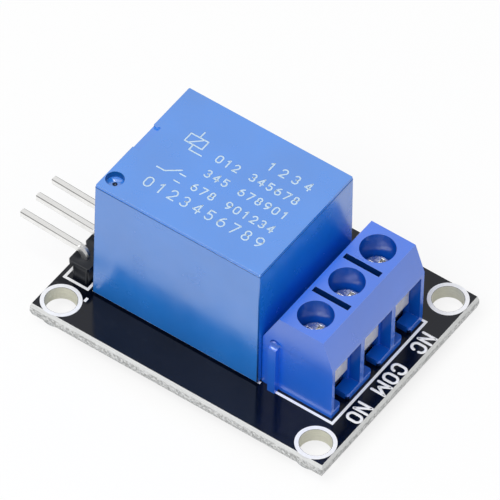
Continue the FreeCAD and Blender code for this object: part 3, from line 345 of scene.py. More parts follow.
def lacquered_board(settings):
    """Black lacquer on both faces, and bare glass laminate on every cut edge."""
    mask, laminate, bore = settings.mask, settings.laminate, settings.bore
    finish = Finish("board_lacquer_and_laminate", mask, 0.12, ior=1.40)
    face = finish.facing("Z")

    fibre = finish.noise(1.0, 5.0, finish.stretched((0.9, 0.9, 9.0)), 0.65)
    torn = finish.noise(4.5, 4.0)
    above = finish.spread(finish.split(finish.millimetres)["Z"], 0.0, 1.0, *SCORE_TOP)
    rough_edge = finish.mix(finish.spread(torn, 0.0, 1.0, 0.38, 0.62), shade(laminate, 0.50), laminate)
    outer = finish.mix(above, rough_edge, finish.mottled(fibre, laminate, 0.84))
    edge = finish.mix(outside(finish), finish.mottled(fibre, bore, 0.88), outer)
    lacquer = finish.mottled(finish.noise(0.2, 3.0), mask, 0.85, 1.3)
    finish.colour(finish.mix(face, edge, lacquer))

    gloss = finish.spread(finish.noise(0.5, 4.0), 0.10, 0.17)
    finish.set({"Roughness": finish.blend(face, 0.62, gloss)})
    ripple = finish.spread(finish.noise(1.6, 2.0), 0.0, 0.03)
    finish.bump(finish.blend(face, finish.sum(torn, fibre), ripple), 0.07 * MM, 0.8)
    return finish.material


def outside(finish):
    """One on the board's outer edges and nothing further in, such as in its holes."""
    parts = finish.split(finish.place["Object"])
    reached = []
    for axis, reach in (("X", BOARD_HIGH.x), ("Y", BOARD_HIGH.y)):
        size = calculate(finish.tree, "ABSOLUTE", parts[axis])
        reached.append(calculate(finish.tree, "GREATER_THAN", size, reach - EDGE_BAND))
    return calculate(finish.tree, "MAXIMUM", *reached)


def screen_ink(name, tint):
    """Printed ink: matt, with a slightly uneven deposit."""
    finish = Finish(name, tint, 0.5)
    finish.colour(finish.mottled(finish.noise(2.2, 3.0), tint, 0.93))
    finish.roughness(finish.noise(4.0, 2.0), 0.42, 0.6)
    finish.bump(finish.noise(12.0, 2.0), 0.002 * MM)
    return finish.material


def wound_copper(settings):
    """Enamelled wire in even turns about an upright axis."""
    tint = settings.copper
    finish = Finish("enamelled_copper", tint, 0.28, metal=1.0)
    inputs = {"Vector": finish.millimetres, "Scale": WAVE_LENGTH * MM / settings.wire, "Distortion": 0.4}
    turns = finish.add("TexWave", inputs, bands_direction="Z").outputs["Fac"]
    finish.colour(finish.mix(turns, shade(tint, 0.45), tint))
    finish.roughness(finish.noise(2.0, 2.0), 0.22, 0.36)
    finish.bump(turns, 0.05 * MM)
    return finish.material


def tinted_resin(name, tint):
    """Clear tinted resin over a lamp."""
    finish = Finish(name, tint, 0.12, ior=1.54)
    finish.set({"Transmission Weight": 0.6})
    finish.colour(finish.mottled(finish.noise(1.5, 2.0), tint, 0.85))
    finish.roughness(finish.noise(3.0, 2.0), 0.08, 0.2)
    finish.bump(finish.noise(6.0, 2.0), 0.003 * MM)
    return finish.material


# Shapes


def new_mesh(name, shape):
    """A mesh made from a finished bmesh."""
    mesh = bpy.data.meshes.new(name)
    shape.to_mesh(mesh)
    shape.free()
    return mesh


def new_object(name, data):
    """An object in the scene that shows a mesh, a lamp or a camera."""
    made = bpy.data.objects.new(name, data)
    bpy.context.scene.collection.objects.link(made)
    return made


def keep(name, shape, material, body):
    """Make a piece from a finished bmesh, give it its finish and let it ride on a body."""
    return keep_mesh(name, new_mesh(name, shape), material, body)


def keep_mesh(name, mesh, material, body):
    """Make a piece from a finished mesh."""
    mesh.materials.clear()
    mesh.materials.append(material)
    piece = new_object(name, mesh)
    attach(piece, body)
    return piece


def stand_in(name, node, shape, material, body):
    """Make a smoothly shaded piece that stands for a plain node."""
    piece = keep(name, shape, material, body)
    smooth_by_area(piece)
    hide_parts(node)
    return piece


def smooth_by_area(piece):
    """Shade bevels round and leave the large faces flat."""
    piece.data.polygons.foreach_set("use_smooth", [True] * len(piece.data.polygons))
    weighted = piece.modifiers.new("weighted_normals", "WEIGHTED_NORMAL")
    weighted.keep_sharp = False
    weighted.weight = 90


def finish_node(node, material):
    """Give a carried-over solid its finish."""
    mesh = frame["nodes"][node].data
    mesh.materials.clear()
    mesh.materials.append(material)


def merged_copy(node):
    """A solid's own form, with its loose triangles joined into whole faces."""
    shape = bmesh.new()
    shape.from_mesh(frame["nodes"][node].data)
    bmesh.ops.remove_doubles(shape, verts=shape.verts, dist=MERGE)
    bmesh.ops.dissolve_limit(shape, angle_limit=FLAT_FACE, verts=shape.verts, edges=shape.edges,
                             use_dissolve_boundaries=False, delimit={"NORMAL"})
    return shape


def narrow(face, radius):
    """Whether a face is too thin to lose a rounding on both sides."""
    return face.calc_area() / max(edge.calc_length() for edge in face.edges) < ROOM * radius


def round_edges(shape, radius, clamp=True):
    """Round every sharp edge that has room for it, and mark the roundings."""
    mark = face_mark(shape, "edge")  # made first, because a new layer cuts off faces already held
    chosen = [edge for edge in shape.edges
              if len(edge.link_faces) == 2 and edge.calc_face_angle() > SHARP_EDGE
              and edge.calc_length() > ROOM * radius
              and not any(narrow(face, radius) for face in edge.link_faces)]
    made = bmesh.ops.bevel(shape, geom=chosen, offset=radius, offset_type="OFFSET", affect="EDGES",
                           segments=EDGE_SEGMENTS, profile=0.5, material=-1, clamp_overlap=clamp)
    for face in made["faces"]:
        face[mark] = 1.0


def face_mark(shape, name):
    """The layer that holds a face mark, made when first asked for."""
    return shape.faces.layers.float.get(name) or shape.faces.layers.float.new(name)


def finish_shaded_recesses(piece, material):
    """Give the faces marked for painted shade a duller finish of their own, which that mark darkens."""
    piece.data.materials.append(material)
    marks = piece.data.attributes["painted_shade"].data
    for polygon in piece.data.polygons:
        polygon.material_index = int(marks[polygon.index].value > 0.0)


def rounded_piece(name, node, radius, material, body, clamp=True):
    """A solid with rounded edges that stands for the plain one."""
    shape = merged_copy(node)
    round_edges(shape, radius, clamp=clamp)
    stand_in(name, node, shape, material, body)


def spun_section(shape, centre, section, segments=48):
    """Add a closed section of radius and height pairs, spun about an upright axis, to a bmesh."""
    old = set(shape.verts)
    points = [shape.verts.new((radius, 0, height)) for radius, height in section]
    edges = [shape.edges.new((points[index - 1], points[index])) for index in range(len(points))]
    bmesh.ops.spin(shape, geom=points + edges, cent=(0, 0, 0), axis=(0, 0, 1), angle=math.tau,
                   steps=segments, use_merge=True)
    made = [vert for vert in shape.verts if vert not in old]
    bmesh.ops.recalc_face_normals(shape, faces=list({face for vert in made for face in vert.link_faces}))
    bmesh.ops.translate(shape, verts=made, vec=(*centre, 0))


def flat_ring(shape, centre, inner, outer, low, high, segments=48):
    """Add an upright ring with a square section to a bmesh."""
    spun_section(shape, centre, ((inner, low), (outer, low), (outer, high), (inner, high)), segments)


def block(shape, low, high):
    """Add a block between two corners to a bmesh."""
    low, high = Vector(low), Vector(high)
    made = bmesh.ops.create_cube(shape, size=1.0)["verts"]
    bmesh.ops.scale(shape, verts=made, vec=high - low)
    bmesh.ops.translate(shape, verts=made, vec=(low + high) / 2)


def printed_line(shape, start, end, width, low, high):
    """Add a flat line along X, which covers its corners, or along Y, which stops short of them."""
    half = width / 2
    along_x = abs(end[0] - start[0]) > abs(end[1] - start[1])
    reach = (half, half if along_x else -half)
    near = [min(pair) - margin for pair, margin in zip(zip(start, end), reach)]
    far = [max(pair) + margin for pair, margin in zip(zip(start, end), reach)]
    block(shape, (*near, low), (*far, high))


# Stroke lettering. A glyph is drawn one unit high, as runs of points.


GLYPH_WIDTH = 0.6
CAP_TURNS = (math.radians(30), math.radians(60), math.radians(85))


def arc(centre, reach, start, end, steps=12):
    """Points along an ellipse's arc, angles in degrees."""
    turns = [math.radians(start + (end - start) * step / steps) for step in range(steps + 1)]
    return [(centre[0] + reach[0] * math.cos(turn), centre[1] + reach[1] * math.sin(turn))
            for turn in turns]


def capsule_ring():
    """The outline of a nought: two half circles joined by straight sides."""
    return arc((0.3, 0.7), (0.3, 0.3), 0, 180) + arc((0.3, 0.3), (0.3, 0.3), 180, 360) + [(0.6, 0.7)]


def six():
    """A six: a ring with a rising tail."""
    return [arc((0.3, 0.3), (0.3, 0.3), 0, 360, 20), arc((0.62, 0.32), (0.62, 0.68), 180, 112)]


def turned(strokes):
    """Strokes turned half a turn within the glyph's box."""
    return [[(GLYPH_WIDTH - across, 1.0 - along) for across, along in stroke] for stroke in strokes]


def sides(*points):
    """Straight runs from each point to the next."""
    return list(zip(points, points[1:]))


GLYPHS = {
    "0": [capsule_ring()],
    "1": sides((0.12, 0.8), (0.34, 1), (0.34, 0)),
    "2": [arc((0.3, 0.7), (0.28, 0.3), 165, -35) + [(0.02, 0)], [(0.02, 0), (0.6, 0)]],
    "3": [arc((0.28, 0.75), (0.26, 0.25), 150, -90), arc((0.28, 0.26), (0.3, 0.26), 90, -150)],
    "4": sides((0.44, 0), (0.44, 1), (0, 0.3), (0.62, 0.3)),
    "5": [*sides((0.54, 1), (0.1, 1), (0.06, 0.56)), arc((0.28, 0.32), (0.3, 0.32), 132, -145)],
    "6": six(),
    "7": sides((0, 1), (0.6, 1), (0.2, 0)),
    "8": [arc((0.3, 0.76), (0.24, 0.24), 0, 360, 20), arc((0.3, 0.26), (0.29, 0.26), 0, 360, 20)],
    "9": turned(six()),
    "N": sides((0, 0), (0, 1), (0.6, 0), (0.6, 1)),
    "C": [capsule_ring()[:-1]],
    "O": [capsule_ring()],
    "M": sides((0, 0), (0, 1), (0.4, 0.3), (0.8, 1), (0.8, 0)),
}


def word_strokes(text, origin, height, advance):
    """The runs of a word from its lower left corner, each glyph an advance after the last."""
    strokes = []
    for order, mark in enumerate(text):
        for stroke in GLYPHS.get(mark, []):
            strokes.append([(origin[0] + order * advance + across * height, origin[1] + along * height)
                            for across, along in stroke])
    return strokes


def round_ended(stroke, radius):
    """A run's points with their radii, and a half circle of shrinking points past each end."""
    points = [Vector(place) for place in stroke]
    run = [(place, 1.0) for place in points]
    for tip, inward in ((points[0], points[1]), (points[-1], points[-2])):
        away = (tip - inward).normalized()
        cap = [(tip + away * radius * math.sin(turn), math.cos(turn)) for turn in CAP_TURNS]
        run = cap[::-1] + run if tip is points[0] else run + cap
    return run


def ink_mesh(name, strokes, width, thickness, place):
    """Raised ink lines along flat runs, moved into place."""
    curve = bpy.data.curves.new(name, "CURVE")
    curve.dimensions = "3D"
    curve.bevel_depth = width / 2
    curve.bevel_resolution = 1
    curve.use_fill_caps = True
    for stroke in strokes:
        closed = (Vector(stroke[0]) - Vector(stroke[-1])).length < width / 100
        if closed:
            run = [(Vector(point), 1.0) for point in stroke[:-1]]
        else:
            run = round_ended(stroke, width / 2)
        spline = curve.splines.new("POLY")
        spline.points.add(len(run) - 1)
        spline.use_cyclic_u = closed
        for point, (spot, radius) in zip(spline.points, run):
            point.co = (spot.x, spot.y, 0, 1)
            point.radius = radius
    holder = bpy.data.objects.new(name, curve)
    mesh = bpy.data.meshes.new_from_object(holder)
    bpy.data.objects.remove(holder)
    bpy.data.curves.remove(curve)
    mesh.transform(place @ Matrix.Diagonal((1, 1, 2 * thickness / width, 1)))
    for polygon in mesh.polygons:
        polygon.use_smooth = True
    return mesh


# Where leads pass through the board


RELAY_LEADS = ("pin_com", "pin_coil_1", "pin_coil_2", "contact_nc", "contact_no")
LEAD_NODES = [f"relay_{part}" for part in RELAY_LEADS]
LEAD_NODES += [f"{part}_{place}" for part in ("terminal_contact", "header_pin") for place in POLES]


def lead_place(node):
    """Middle and half diagonal of a lead, from its lowest points."""
    points = [vert.co for vert in frame["nodes"][node].data.vertices]
    lowest = min(point.z for point in points)
    tip = [point for point in points if point.z < lowest + MERGE]
    low = Vector((min(point.x for point in tip), min(point.y for point in tip)))
    high = Vector((max(point.x for point in tip), max(point.y for point in tip)))
    return (low + high) / 2, (high - low).length / 2


def mounting_holes():
    """Centres and radius of the board's four holes, from the record's bolt pattern."""
    dims = next(item["dims"] for item in frame["record"]["mounts"] if item["name"] == "mounting_holes")
    reach = (dims["spacing_x_mm"] / 2 * MM, dims["spacing_y_mm"] / 2 * MM)
    centres = [(side_x * reach[0], side_y * reach[1]) for side_x in (-1, 1) for side_y in (-1, 1)]
    return centres, dims["hole_r_mm"] * MM


def hole_rings(shape, settings, low, high):
    """Add a flat ring around each mounting hole."""
    centres, radius = mounting_holes()
    for centre in centres:
        flat_ring(shape, centre, radius + RING_GAP, radius + settings.ring_width, low, high)


class PieceOperator:
    """What every operator here shares: it works once on the loaded frame."""
    bl_options = {"REGISTER"}


class OBJECT_OT_relay_board_laminate(PieceOperator, bpy.types.Operator):
    """Finish the circuit board's lacquered faces and bare edges"""
    bl_idname = "object.relay_board_laminate"
    bl_label = "Circuit board"

    def execute(self, context):
        finish_node("circuit_board", lacquered_board(context.scene.relay_board))
        return {"FINISHED"}


RING_GAP = 0.03 * MM
BLOCK_GAP = 0.42 * MM
BLOCK_WIDTH = 15.14 * MM
BLOCK_SIDE_GAP = 0.33 * MM
RAIL_REACH = 1.6 * MM
RELAY_INSET = 0.34 * MM
HEADER_BACK_GAP = 0.23 * MM
HEADER_FRONT_GAP = 0.1 * MM
HEADER_SIDE_GAP = 0.2 * MM
TICK_REACH = 1.07 * MM
TICK_GAP = 0.05 * MM
TICK_HALF = Vector((0.14 * MM, 0.26 * MM))
LABELS = (("NC", -6.3 * MM), ("COM", -1.65 * MM), ("NO", 4.3 * MM))
LABEL_BASE = 15.1 * MM
LETTER_GAP = 0.2 * MM


class OBJECT_OT_relay_board_print(PieceOperator, bpy.types.Operator):
    """Print rings, outlines and terminal labels on the board"""
    bl_idname = "object.relay_board_print"
    bl_label = "Board print"

    def execute(self, context):
        settings = context.scene.relay_board
        ink = screen_ink("board_ink", settings.ink)
        low, high = BOARD_HIGH.z - settings.ink_height, BOARD_HIGH.z + settings.ink_height
        rings = bmesh.new()
        hole_rings(rings, settings, low, high)
        keep("hole_rings", rings, ink, "root")

        lines = bmesh.new()
        for start, end in outline_runs():
            printed_line(lines, start, end, settings.outline_width, low, high)
        tick = Vector((COVER_LOW.x + TICK_GAP, COVER_LOW.y - TICK_REACH))
        block(lines, (*(tick - TICK_HALF), low), (*(tick + TICK_HALF), high))
        keep("board_outlines", lines, ink, "root")
        keep_mesh("terminal_labels", label_mesh(settings), ink, "root")
        return {"FINISHED"}


def outline_runs():
    """The printed outlines around the terminal block, the relay and the header."""
    front = BLOCK_HIGH.x + BLOCK_GAP
    near, far = BLOCK_HIGH.y - BLOCK_WIDTH - BLOCK_SIDE_GAP, BLOCK_HIGH.y
    relay_near = COVER_LOW.y + RELAY_INSET
    x_low, x_high = HEADER_LOW.x - HEADER_BACK_GAP, HEADER_HIGH.x + HEADER_FRONT_GAP
    y_low, y_high = HEADER_LOW.y - HEADER_SIDE_GAP, HEADER_HIGH.y + HEADER_SIDE_GAP
    header = [(x_low, y_low), (x_high, y_low), (x_high, y_high), (x_low, y_high)]
    return [
        *sides((BLOCK_LOW.x + RAIL_REACH, near), (front, near), (front, far), (BLOCK_HIGH.x, far)),
        *sides((COVER_LOW.x, relay_near), (COVER_HIGH.x, relay_near)),
        *sides(*header, header[0]),
    ]


def label_mesh(settings):
    """The three terminal marks, read from the board's front edge."""
    height, stroke = settings.label_height, settings.label_stroke
    advance = GLYPH_WIDTH * height + stroke + LETTER_GAP
    strokes = []
    for text, start in LABELS:
        strokes += word_strokes(text, (start + stroke / 2, 0.0), height, advance)
    turn = Matrix.Rotation(math.radians(-90), 4, "Z")
    place = Matrix.Translation((LABEL_BASE + stroke / 2, 0, BOARD_HIGH.z)) @ turn
    return ink_mesh("terminal_labels", strokes, stroke, settings.ink_height, place)


PAD_DEPTH = 0.03 * MM
PAD_SINK = 0.005 * MM
PAD_GAP = 0.06 * MM
PAD_START = 0.08 * MM
SOLDER_INSET = 0.12 * MM
SOLDER_HEIGHT = 0.9 * MM
JOINT_SEGMENTS = 32
TRACK_THICKNESS = 0.025 * MM


class OBJECT_OT_relay_board_underside(PieceOperator, bpy.types.Operator):
    """Add tinned rings, solder and lacquered tracks under the board"""
    bl_idname = "object.relay_board_underside"
    bl_label = "Board underside"

    def execute(self, context):
        settings = context.scene.relay_board
        tin = plated_metal("bright_solder", (0.72, 0.73, 0.74), 0.26, dent=0.02 * MM, per_mm=2.2, metal=0.9)
        low, high = BOARD_LOW.z - PAD_DEPTH, BOARD_LOW.z + PAD_SINK
        pads = bmesh.new()
        solder = bmesh.new()
        for node in LEAD_NODES:
            middle, reach = lead_place(node)
            outer = reach + PAD_START + settings.pad_width
            flat_ring(pads, middle, reach + PAD_GAP, outer, low, high, JOINT_SEGMENTS)
            spun_section(solder, middle, solder_section(reach, outer - SOLDER_INSET), JOINT_SEGMENTS)
        hole_rings(pads, settings, low, high)
        keep("solder_pads", pads, tin, "root")
        stand_in("solder_fillets", "solder_joints", solder, tin, "root")
        track = moulded_plastic("lacquer_over_copper", (0.010, 0.0105, 0.0100), 0.14, grain=0.02 * MM)
        place = Matrix.Translation((0, 0, BOARD_LOW.z))
        strokes = track_runs()
        for name, width in (("load_tracks", settings.load_track),
                            ("signal_tracks", settings.signal_track)):
            mesh = ink_mesh(name, strokes[name], width, TRACK_THICKNESS, place)
            keep_mesh(name, mesh, track, "root")
        return {"FINISHED"}


def solder_section(reach, outer):
    """Half of a solder joint's hollow-sided cone, from the board down to the lead."""
    inner, tip = reach / 2, 1.02 * reach
    turns = [math.radians(15 * step) for step in range(7)]
    slope = [(outer - (outer - tip) * math.sin(turn), -SOLDER_HEIGHT * (1 - math.cos(turn)))
             for turn in turns]
    return [(inner, 0.0), *slope, (inner, -SOLDER_HEIGHT)]


TRACK_EDGE = 3.9 * MM
TRACK_BEHIND = 0.9 * MM
TRACK_CORNER = 1.2 * MM
TRACK_STUB = 1.5 * MM
GROUND_LINE = -9.0 * MM
SIGNAL_BEND = -0.2 * MM


def track_runs():
    """Routes of the tracks under the board: contacts to terminals, and coil and signal to the header."""
    spot = {node: tuple(lead_place(node)[0]) for node in LEAD_NODES}
    edge = BOARD_LOW.x + TRACK_EDGE
    behind = COVER_HIGH.y + TRACK_BEHIND
    return {
        "load_tracks": [
            [spot["relay_pin_com"], spot["terminal_contact_2"]],
            [spot["relay_contact_nc"], spot["terminal_contact_3"]],
            [spot["relay_contact_no"], spot["terminal_contact_1"]],
        ],
        "signal_tracks": [
            [spot["header_pin_2"], (edge, spot["header_pin_2"][1]), spot["relay_pin_coil_1"]],
            [spot["header_pin_3"], (edge, SIGNAL_BEND), (edge, behind - TRACK_CORNER),
             (edge + TRACK_CORNER, behind)],
            [spot["relay_pin_coil_2"], (spot["relay_pin_coil_2"][0] + TRACK_STUB, behind)],
            [spot["header_pin_1"], (edge, GROUND_LINE), (0.0, GROUND_LINE)],
        ],
    }


class OBJECT_OT_relay_cover(PieceOperator, bpy.types.Operator):
    """Round the relay's moulded cover and print plain marks on it"""
    bl_idname = "object.relay_cover"
    bl_label = "Relay cover"

    def execute(self, context):
        settings = context.scene.relay_board_relay
        # The cover's rounded edges get the plastic's painted highlight.
        blue = moulded_plastic("relay_blue_plastic", settings.plastic, rough=0.23, ior=2.38)
        # Recess faces get a duller finish, darkened by painted shade.
        shaded_recess = moulded_plastic("relay_shaded_recess_plastic", settings.plastic, rough=0.3, ior=1.45)
        shape = merged_copy("relay_case")
        # Painted shadow: a dark line along the wall under the rim's ledge.
        mark_ledge_shadow(shape)
        round_edges(shape, settings.edge_radius)
        # Painted shade on the round recess's wall, and darker on its gate mark.
        mark_vent_shade(shape)
        cover = stand_in("relay_cover", "relay_case", shape, blue, "root")
        finish_shaded_recesses(cover, shaded_recess)
        finish_node("relay_base", blue)
        white = screen_ink("relay_ink", settings.ink)
        keep_mesh("relay_print", relay_print_mesh(settings), white, "root")
        return {"FINISHED"}


RIM_HEIGHT = 0.3 * MM
# Height of the band of painted shadow under the rim's ledge.
LEDGE_SHADOW_LINE = 0.11 * MM
WALL_REACH = 0.2 * MM
TOP_SKIN = 0.1 * MM
VENT_PLACE = Vector((COVER_LOW.x + 1.23 * MM, COVER_LOW.y + 1.82 * MM))
VENT_RADIUS = 0.93 * MM
VENT_DEPTH = 0.75 * MM
GATE_DEPTH = 1.05 * MM
SLACK = 0.01 * MM
# How dark the painted shade in each kind of recess is, from nothing to one.
PAINTED_SHADE_DEPTHS = {"ledge": 0.75, "vent": 0.55, "gate": 1.0, "key": 0.85, "well": 0.3, "mouth": 0.4, "rail": 0.3}


def mark_ledge_shadow(shape):
    """Split off a narrow band of wall below the rim's ledge, and mark it for a painted shadow line."""
    ledge = COVER_HIGH.z - RIM_HEIGHT
    bmesh.ops.bisect_plane(shape, geom=[*shape.verts, *shape.edges, *shape.faces],
                           plane_co=(0, 0, ledge - LEDGE_SHADOW_LINE), plane_no=(0, 0, 1))
    painted_shade = face_mark(shape, "painted_shade")
    for face in shape.faces:
        centre = face.calc_center_median()
        reach = min(centre.x - COVER_LOW.x, COVER_HIGH.x - centre.x,
                    centre.y - COVER_LOW.y, COVER_HIGH.y - centre.y)
        if ledge - LEDGE_SHADOW_LINE < centre.z < ledge - MERGE and reach < WALL_REACH:
            face[painted_shade] = PAINTED_SHADE_DEPTHS["ledge"]


def mark_vent_shade(shape):
    """Paint shade on the wall of the cover's round recess, and darker shade on the small gate mark in its
    floor.
    """
    painted_shade = face_mark(shape, "painted_shade")
    for face in shape.faces:
        centre = face.calc_center_median()
        depth = COVER_HIGH.z - centre.z
        if depth < TOP_SKIN or (centre.xy - VENT_PLACE).length > VENT_RADIUS + 2 * SLACK:
            continue
        if VENT_DEPTH + SLACK < depth < GATE_DEPTH:
            face[painted_shade] = PAINTED_SHADE_DEPTHS["gate"]
        elif depth < VENT_DEPTH - SLACK:
            face[painted_shade] = PAINTED_SHADE_DEPTHS["vent"]


# Numbers, then their left end, base line, height and advance in millimetres.
PRINT_ROWS = (
    ("1234", -1.05, 2.85, 0.98, 1.42),
    ("012 345678", -5.5, 0.75, 0.88, 0.97),
    ("345 678901", -5.3, -1.35, 0.88, 0.97),
    ("678 901234", -5.35, -3.45, 0.88, 0.97),
    ("0123456789", -9.35, -5.6, 1.18, 1.41),
)
# Runs of the coil symbol and the switch symbol, in millimetres.
SYMBOL = (
    *sides((-9.3, 1.2), (-7.3, 1.2), (-7.3, 2.3), (-9.3, 2.3), (-9.3, 1.2)),
    *sides((-8.3, 1.2), (-8.3, 0.5), (-6.9, 0.5)), *sides((-9.5, -3.0), (-8.6, -3.0), (-7.3, -2.0)),
    ((-8.9, 1.2), (-7.7, 2.3)), ((-8.3, 2.3), (-8.3, 3.1)),
    ((-7.2, -2.45), (-6.6, -2.45)), ((-7.2, -3.45), (-6.6, -3.45)),
)
PRINT_THICKNESS = 0.012 * MM


def relay_print_mesh(settings):
    """Rows of plain numbers and a wiring symbol on the cover's top."""
    strokes = []
    for text, across, along, height, advance in PRINT_ROWS:
        strokes += word_strokes(text, (across * MM, along * MM), height * MM, advance * MM)
    strokes += [[(across * MM, along * MM) for across, along in run] for run in SYMBOL]
    place = Matrix.Translation((0, 0, COVER_HIGH.z))
    return ink_mesh("relay_print", strokes, settings.stroke, PRINT_THICKNESS, place)


class OBJECT_OT_relay_works(PieceOperator, bpy.types.Operator):
    """Finish the relay's coil, magnet parts, contacts and leads"""
    bl_idname = "object.relay_works"
    bl_label = "Relay works"

    def execute(self, context):
        settings = context.scene.relay_board_relay
        iron = drawn_metal("plated_iron", (0.56, 0.56, 0.57), 0.34, "z")
        bronze = drawn_metal("spring_bronze", (0.72, 0.50, 0.26), 0.26, "x")
        tin = plated_metal("tinned_lead", (0.74, 0.73, 0.70), rough=0.26)
        spool = moulded_plastic("natural_plastic", (0.74, 0.70, 0.60), rough=0.42)
        for material, parts in (
                (wound_copper(settings), ("winding",)), (spool, ("bobbin",)),
                (iron, ("core", "yoke", "armature")),
                (bronze, ("contact_spring", "moving_contact", "contact_nc", "contact_no")),
                (tin, ("pin_com", "pin_coil_1", "pin_coil_2"))):
            for part in parts:
                finish_node(f"relay_{part}", material)
        return {"FINISHED"}


class OBJECT_OT_terminal_block(PieceOperator, bpy.types.Operator):
    """Round the terminal block's moulded housing"""
    bl_idname = "object.terminal_block"
    bl_label = "Terminal block"

    def execute(self, context):
        settings = context.scene.relay_board_terminal
        # The housing's rounded edges get a painted highlight, paled by the share edge.
        blue = moulded_plastic("terminal_blue_plastic", settings.plastic, 0.22, ior=2.15, edge=0.2)
        # Recess faces get a duller finish, darkened by painted shade.
        shaded_recess = moulded_plastic("terminal_shaded_recess_plastic", settings.plastic, rough=0.18, ior=1.40)
        shape = merged_copy("terminal_housing")
        round_edges(shape, settings.edge_radius)
        # Painted shade on the walls of the key slots, wells, mouths and rail pocket.
        mark_recess_shade(shape)
        housing = stand_in("terminal_block", "terminal_housing", shape, blue, "root")
        finish_shaded_recesses(housing, shaded_recess)
        return {"FINISHED"}


TOP_MARGIN = 0.12 * MM
KEY_DEPTH = 2.45 * MM
KEY_HALF = 0.34 * MM
WELL_MARGIN = 0.3 * MM
MOUTH_TOP = BOARD_HIGH.z + 6.62 * MM
RAIL_END = BLOCK_LOW.x + 2.1 * MM
RAIL_DEPTH = (BLOCK_LOW.y + 0.62 * MM, BLOCK_LOW.y + 1.1 * MM)
RAIL_POCKET = (BOARD_HIGH.z + 6.1 * MM, BOARD_HIGH.z + 7.2 * MM)
LEAN = 0.5


def mark_recess_shade(shape):
    """Mark painted shade on the walls of the key slots, wells, mouths and rail pocket, the deepest darkest.
    """
    screws = [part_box(f"terminal_screw_{pole}") for pole in POLES]
    axes = [((low + high) / 2).xy for low, high in screws]
    between = [(first.y + second.y) / 2 for first, second in zip(axes, axes[1:])]
    well = (screws[0][1].x - screws[0][0].x) / 2 + WELL_MARGIN
    mouth_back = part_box("terminal_guard_1")[1].x - TOP_MARGIN
    mouth_front = BLOCK_HIGH.x - TOP_MARGIN
    painted_shade, edge = face_mark(shape, "painted_shade"), face_mark(shape, "edge")
    for face in shape.faces:
        centre = face.calc_center_median()
        if face[edge] or centre.z > BLOCK_HIGH.z - TOP_MARGIN:
            continue
        off_slot = min(abs(centre.y - place) for place in between)
        in_mouth = mouth_back < centre.x < mouth_front and centre.z < MOUTH_TOP
        in_rail = centre.x < RAIL_END and RAIL_DEPTH[0] < centre.y < RAIL_DEPTH[1]
        if off_slot < KEY_HALF and centre.z > BLOCK_HIGH.z - KEY_DEPTH:
            face[painted_shade] = PAINTED_SHADE_DEPTHS["key"]
        elif min((centre.xy - axis).length for axis in axes) < well:
            face[painted_shade] = PAINTED_SHADE_DEPTHS["well"]
        elif in_mouth and abs(face.normal.x) < LEAN and face.normal.z > -LEAN:
            face[painted_shade] = PAINTED_SHADE_DEPTHS["mouth"]
        elif in_rail and RAIL_POCKET[0] < centre.z < RAIL_POCKET[1]:
            face[painted_shade] = PAINTED_SHADE_DEPTHS["rail"]


class OBJECT_OT_terminal_metal(PieceOperator, bpy.types.Operator):
    """Finish the folded contacts, the clamp strips and the clamp screws"""
    bl_idname = "object.terminal_metal"
    bl_label = "Terminal metal"

    def execute(self, context):
        settings = context.scene.relay_board_terminal
        metal = settings.metal
        tin = plated_metal("tinned_contact", shade(metal, 0.92), rough=0.3)
        strip = plated_metal("satin_strip", (1.0, 0.99, 0.97), 0.45, dent=0.01 * MM, per_mm=1.4, metal=0.35)
        zinc = plated_metal("zinc_screw", shade(metal, 1.2), 0.2, dent=0.09 * MM, per_mm=1.8)
        for pole in POLES:
            finish_node(f"terminal_contact_{pole}", tin)
            rounded_piece(f"clamp_strip_{pole}", f"terminal_guard_{pole}", settings.metal_radius, strip,
                          f"clamp_{pole}")
            rounded_piece(f"clamp_screw_{pole}", f"terminal_screw_{pole}", settings.metal_radius, zinc,
                          f"screw_{pole}")
        return {"FINISHED"}


class OBJECT_OT_pin_header(PieceOperator, bpy.types.Operator):
    """Round the header's insulator and its bent pins"""
    bl_idname = "object.pin_header"
    bl_label = "Pin header"

    def execute(self, context):
        settings = context.scene.relay_board_header
        # The insulator's rounded edges get a faint painted highlight.
        black = moulded_plastic("black_insulator", settings.plastic, 0.30, 1.38, grain=0.006 * MM, edge=0.04)
        rounded_piece("header_insulator", "header_base", settings.edge_radius, black, "root")
        # The pins' level faces get painted shade by the share top, and their rounded edges a painted dark
        # line.
        tin = drawn_metal("tinned_pin", settings.metal, 0.3, "x", top=0.78)
        for pin in POLES:
            rounded_piece(f"bent_pin_{pin}", f"header_pin_{pin}", settings.pin_radius, tin, "root",
                          clamp=False)
        return {"FINISHED"}


# New piece, the node that it replaces, its edge radius in millimetres, its finish and its slot.
SMALL_PIECES = (
    ("base_resistor_body", "base_resistor", 0.03, "epoxy", "chip_black"),
    ("lamp_resistor_body", "lamp_resistor", 0.03, "epoxy", "chip_black"),
    ("resistor_end_caps", "resistor_caps", 0.04, "tin", "solder"),
    ("transistor_moulding", "transistor_body", 0.07, "epoxy", "chip_black"),
    ("transistor_legs", "transistor_leads", 0.02, "tin", "tinned_metal"),
    ("diode_moulding", "diode_body", 0.07, "epoxy", "chip_black"),
    ("diode_straps", "diode_leads", 0.03, "tin", "tinned_metal"),
    ("power_led_seat", "power_led_base", 0.03, "laminate", "lamp_base"),
    ("power_led_dome", "power_led_lens", 0.12, "red", "lamp_red"),
    ("status_led_seat", "status_led_base", 0.03, "laminate", "lamp_base"),
    ("status_led_dome", "status_led_lens", 0.12, "green", "lamp_green"),
)


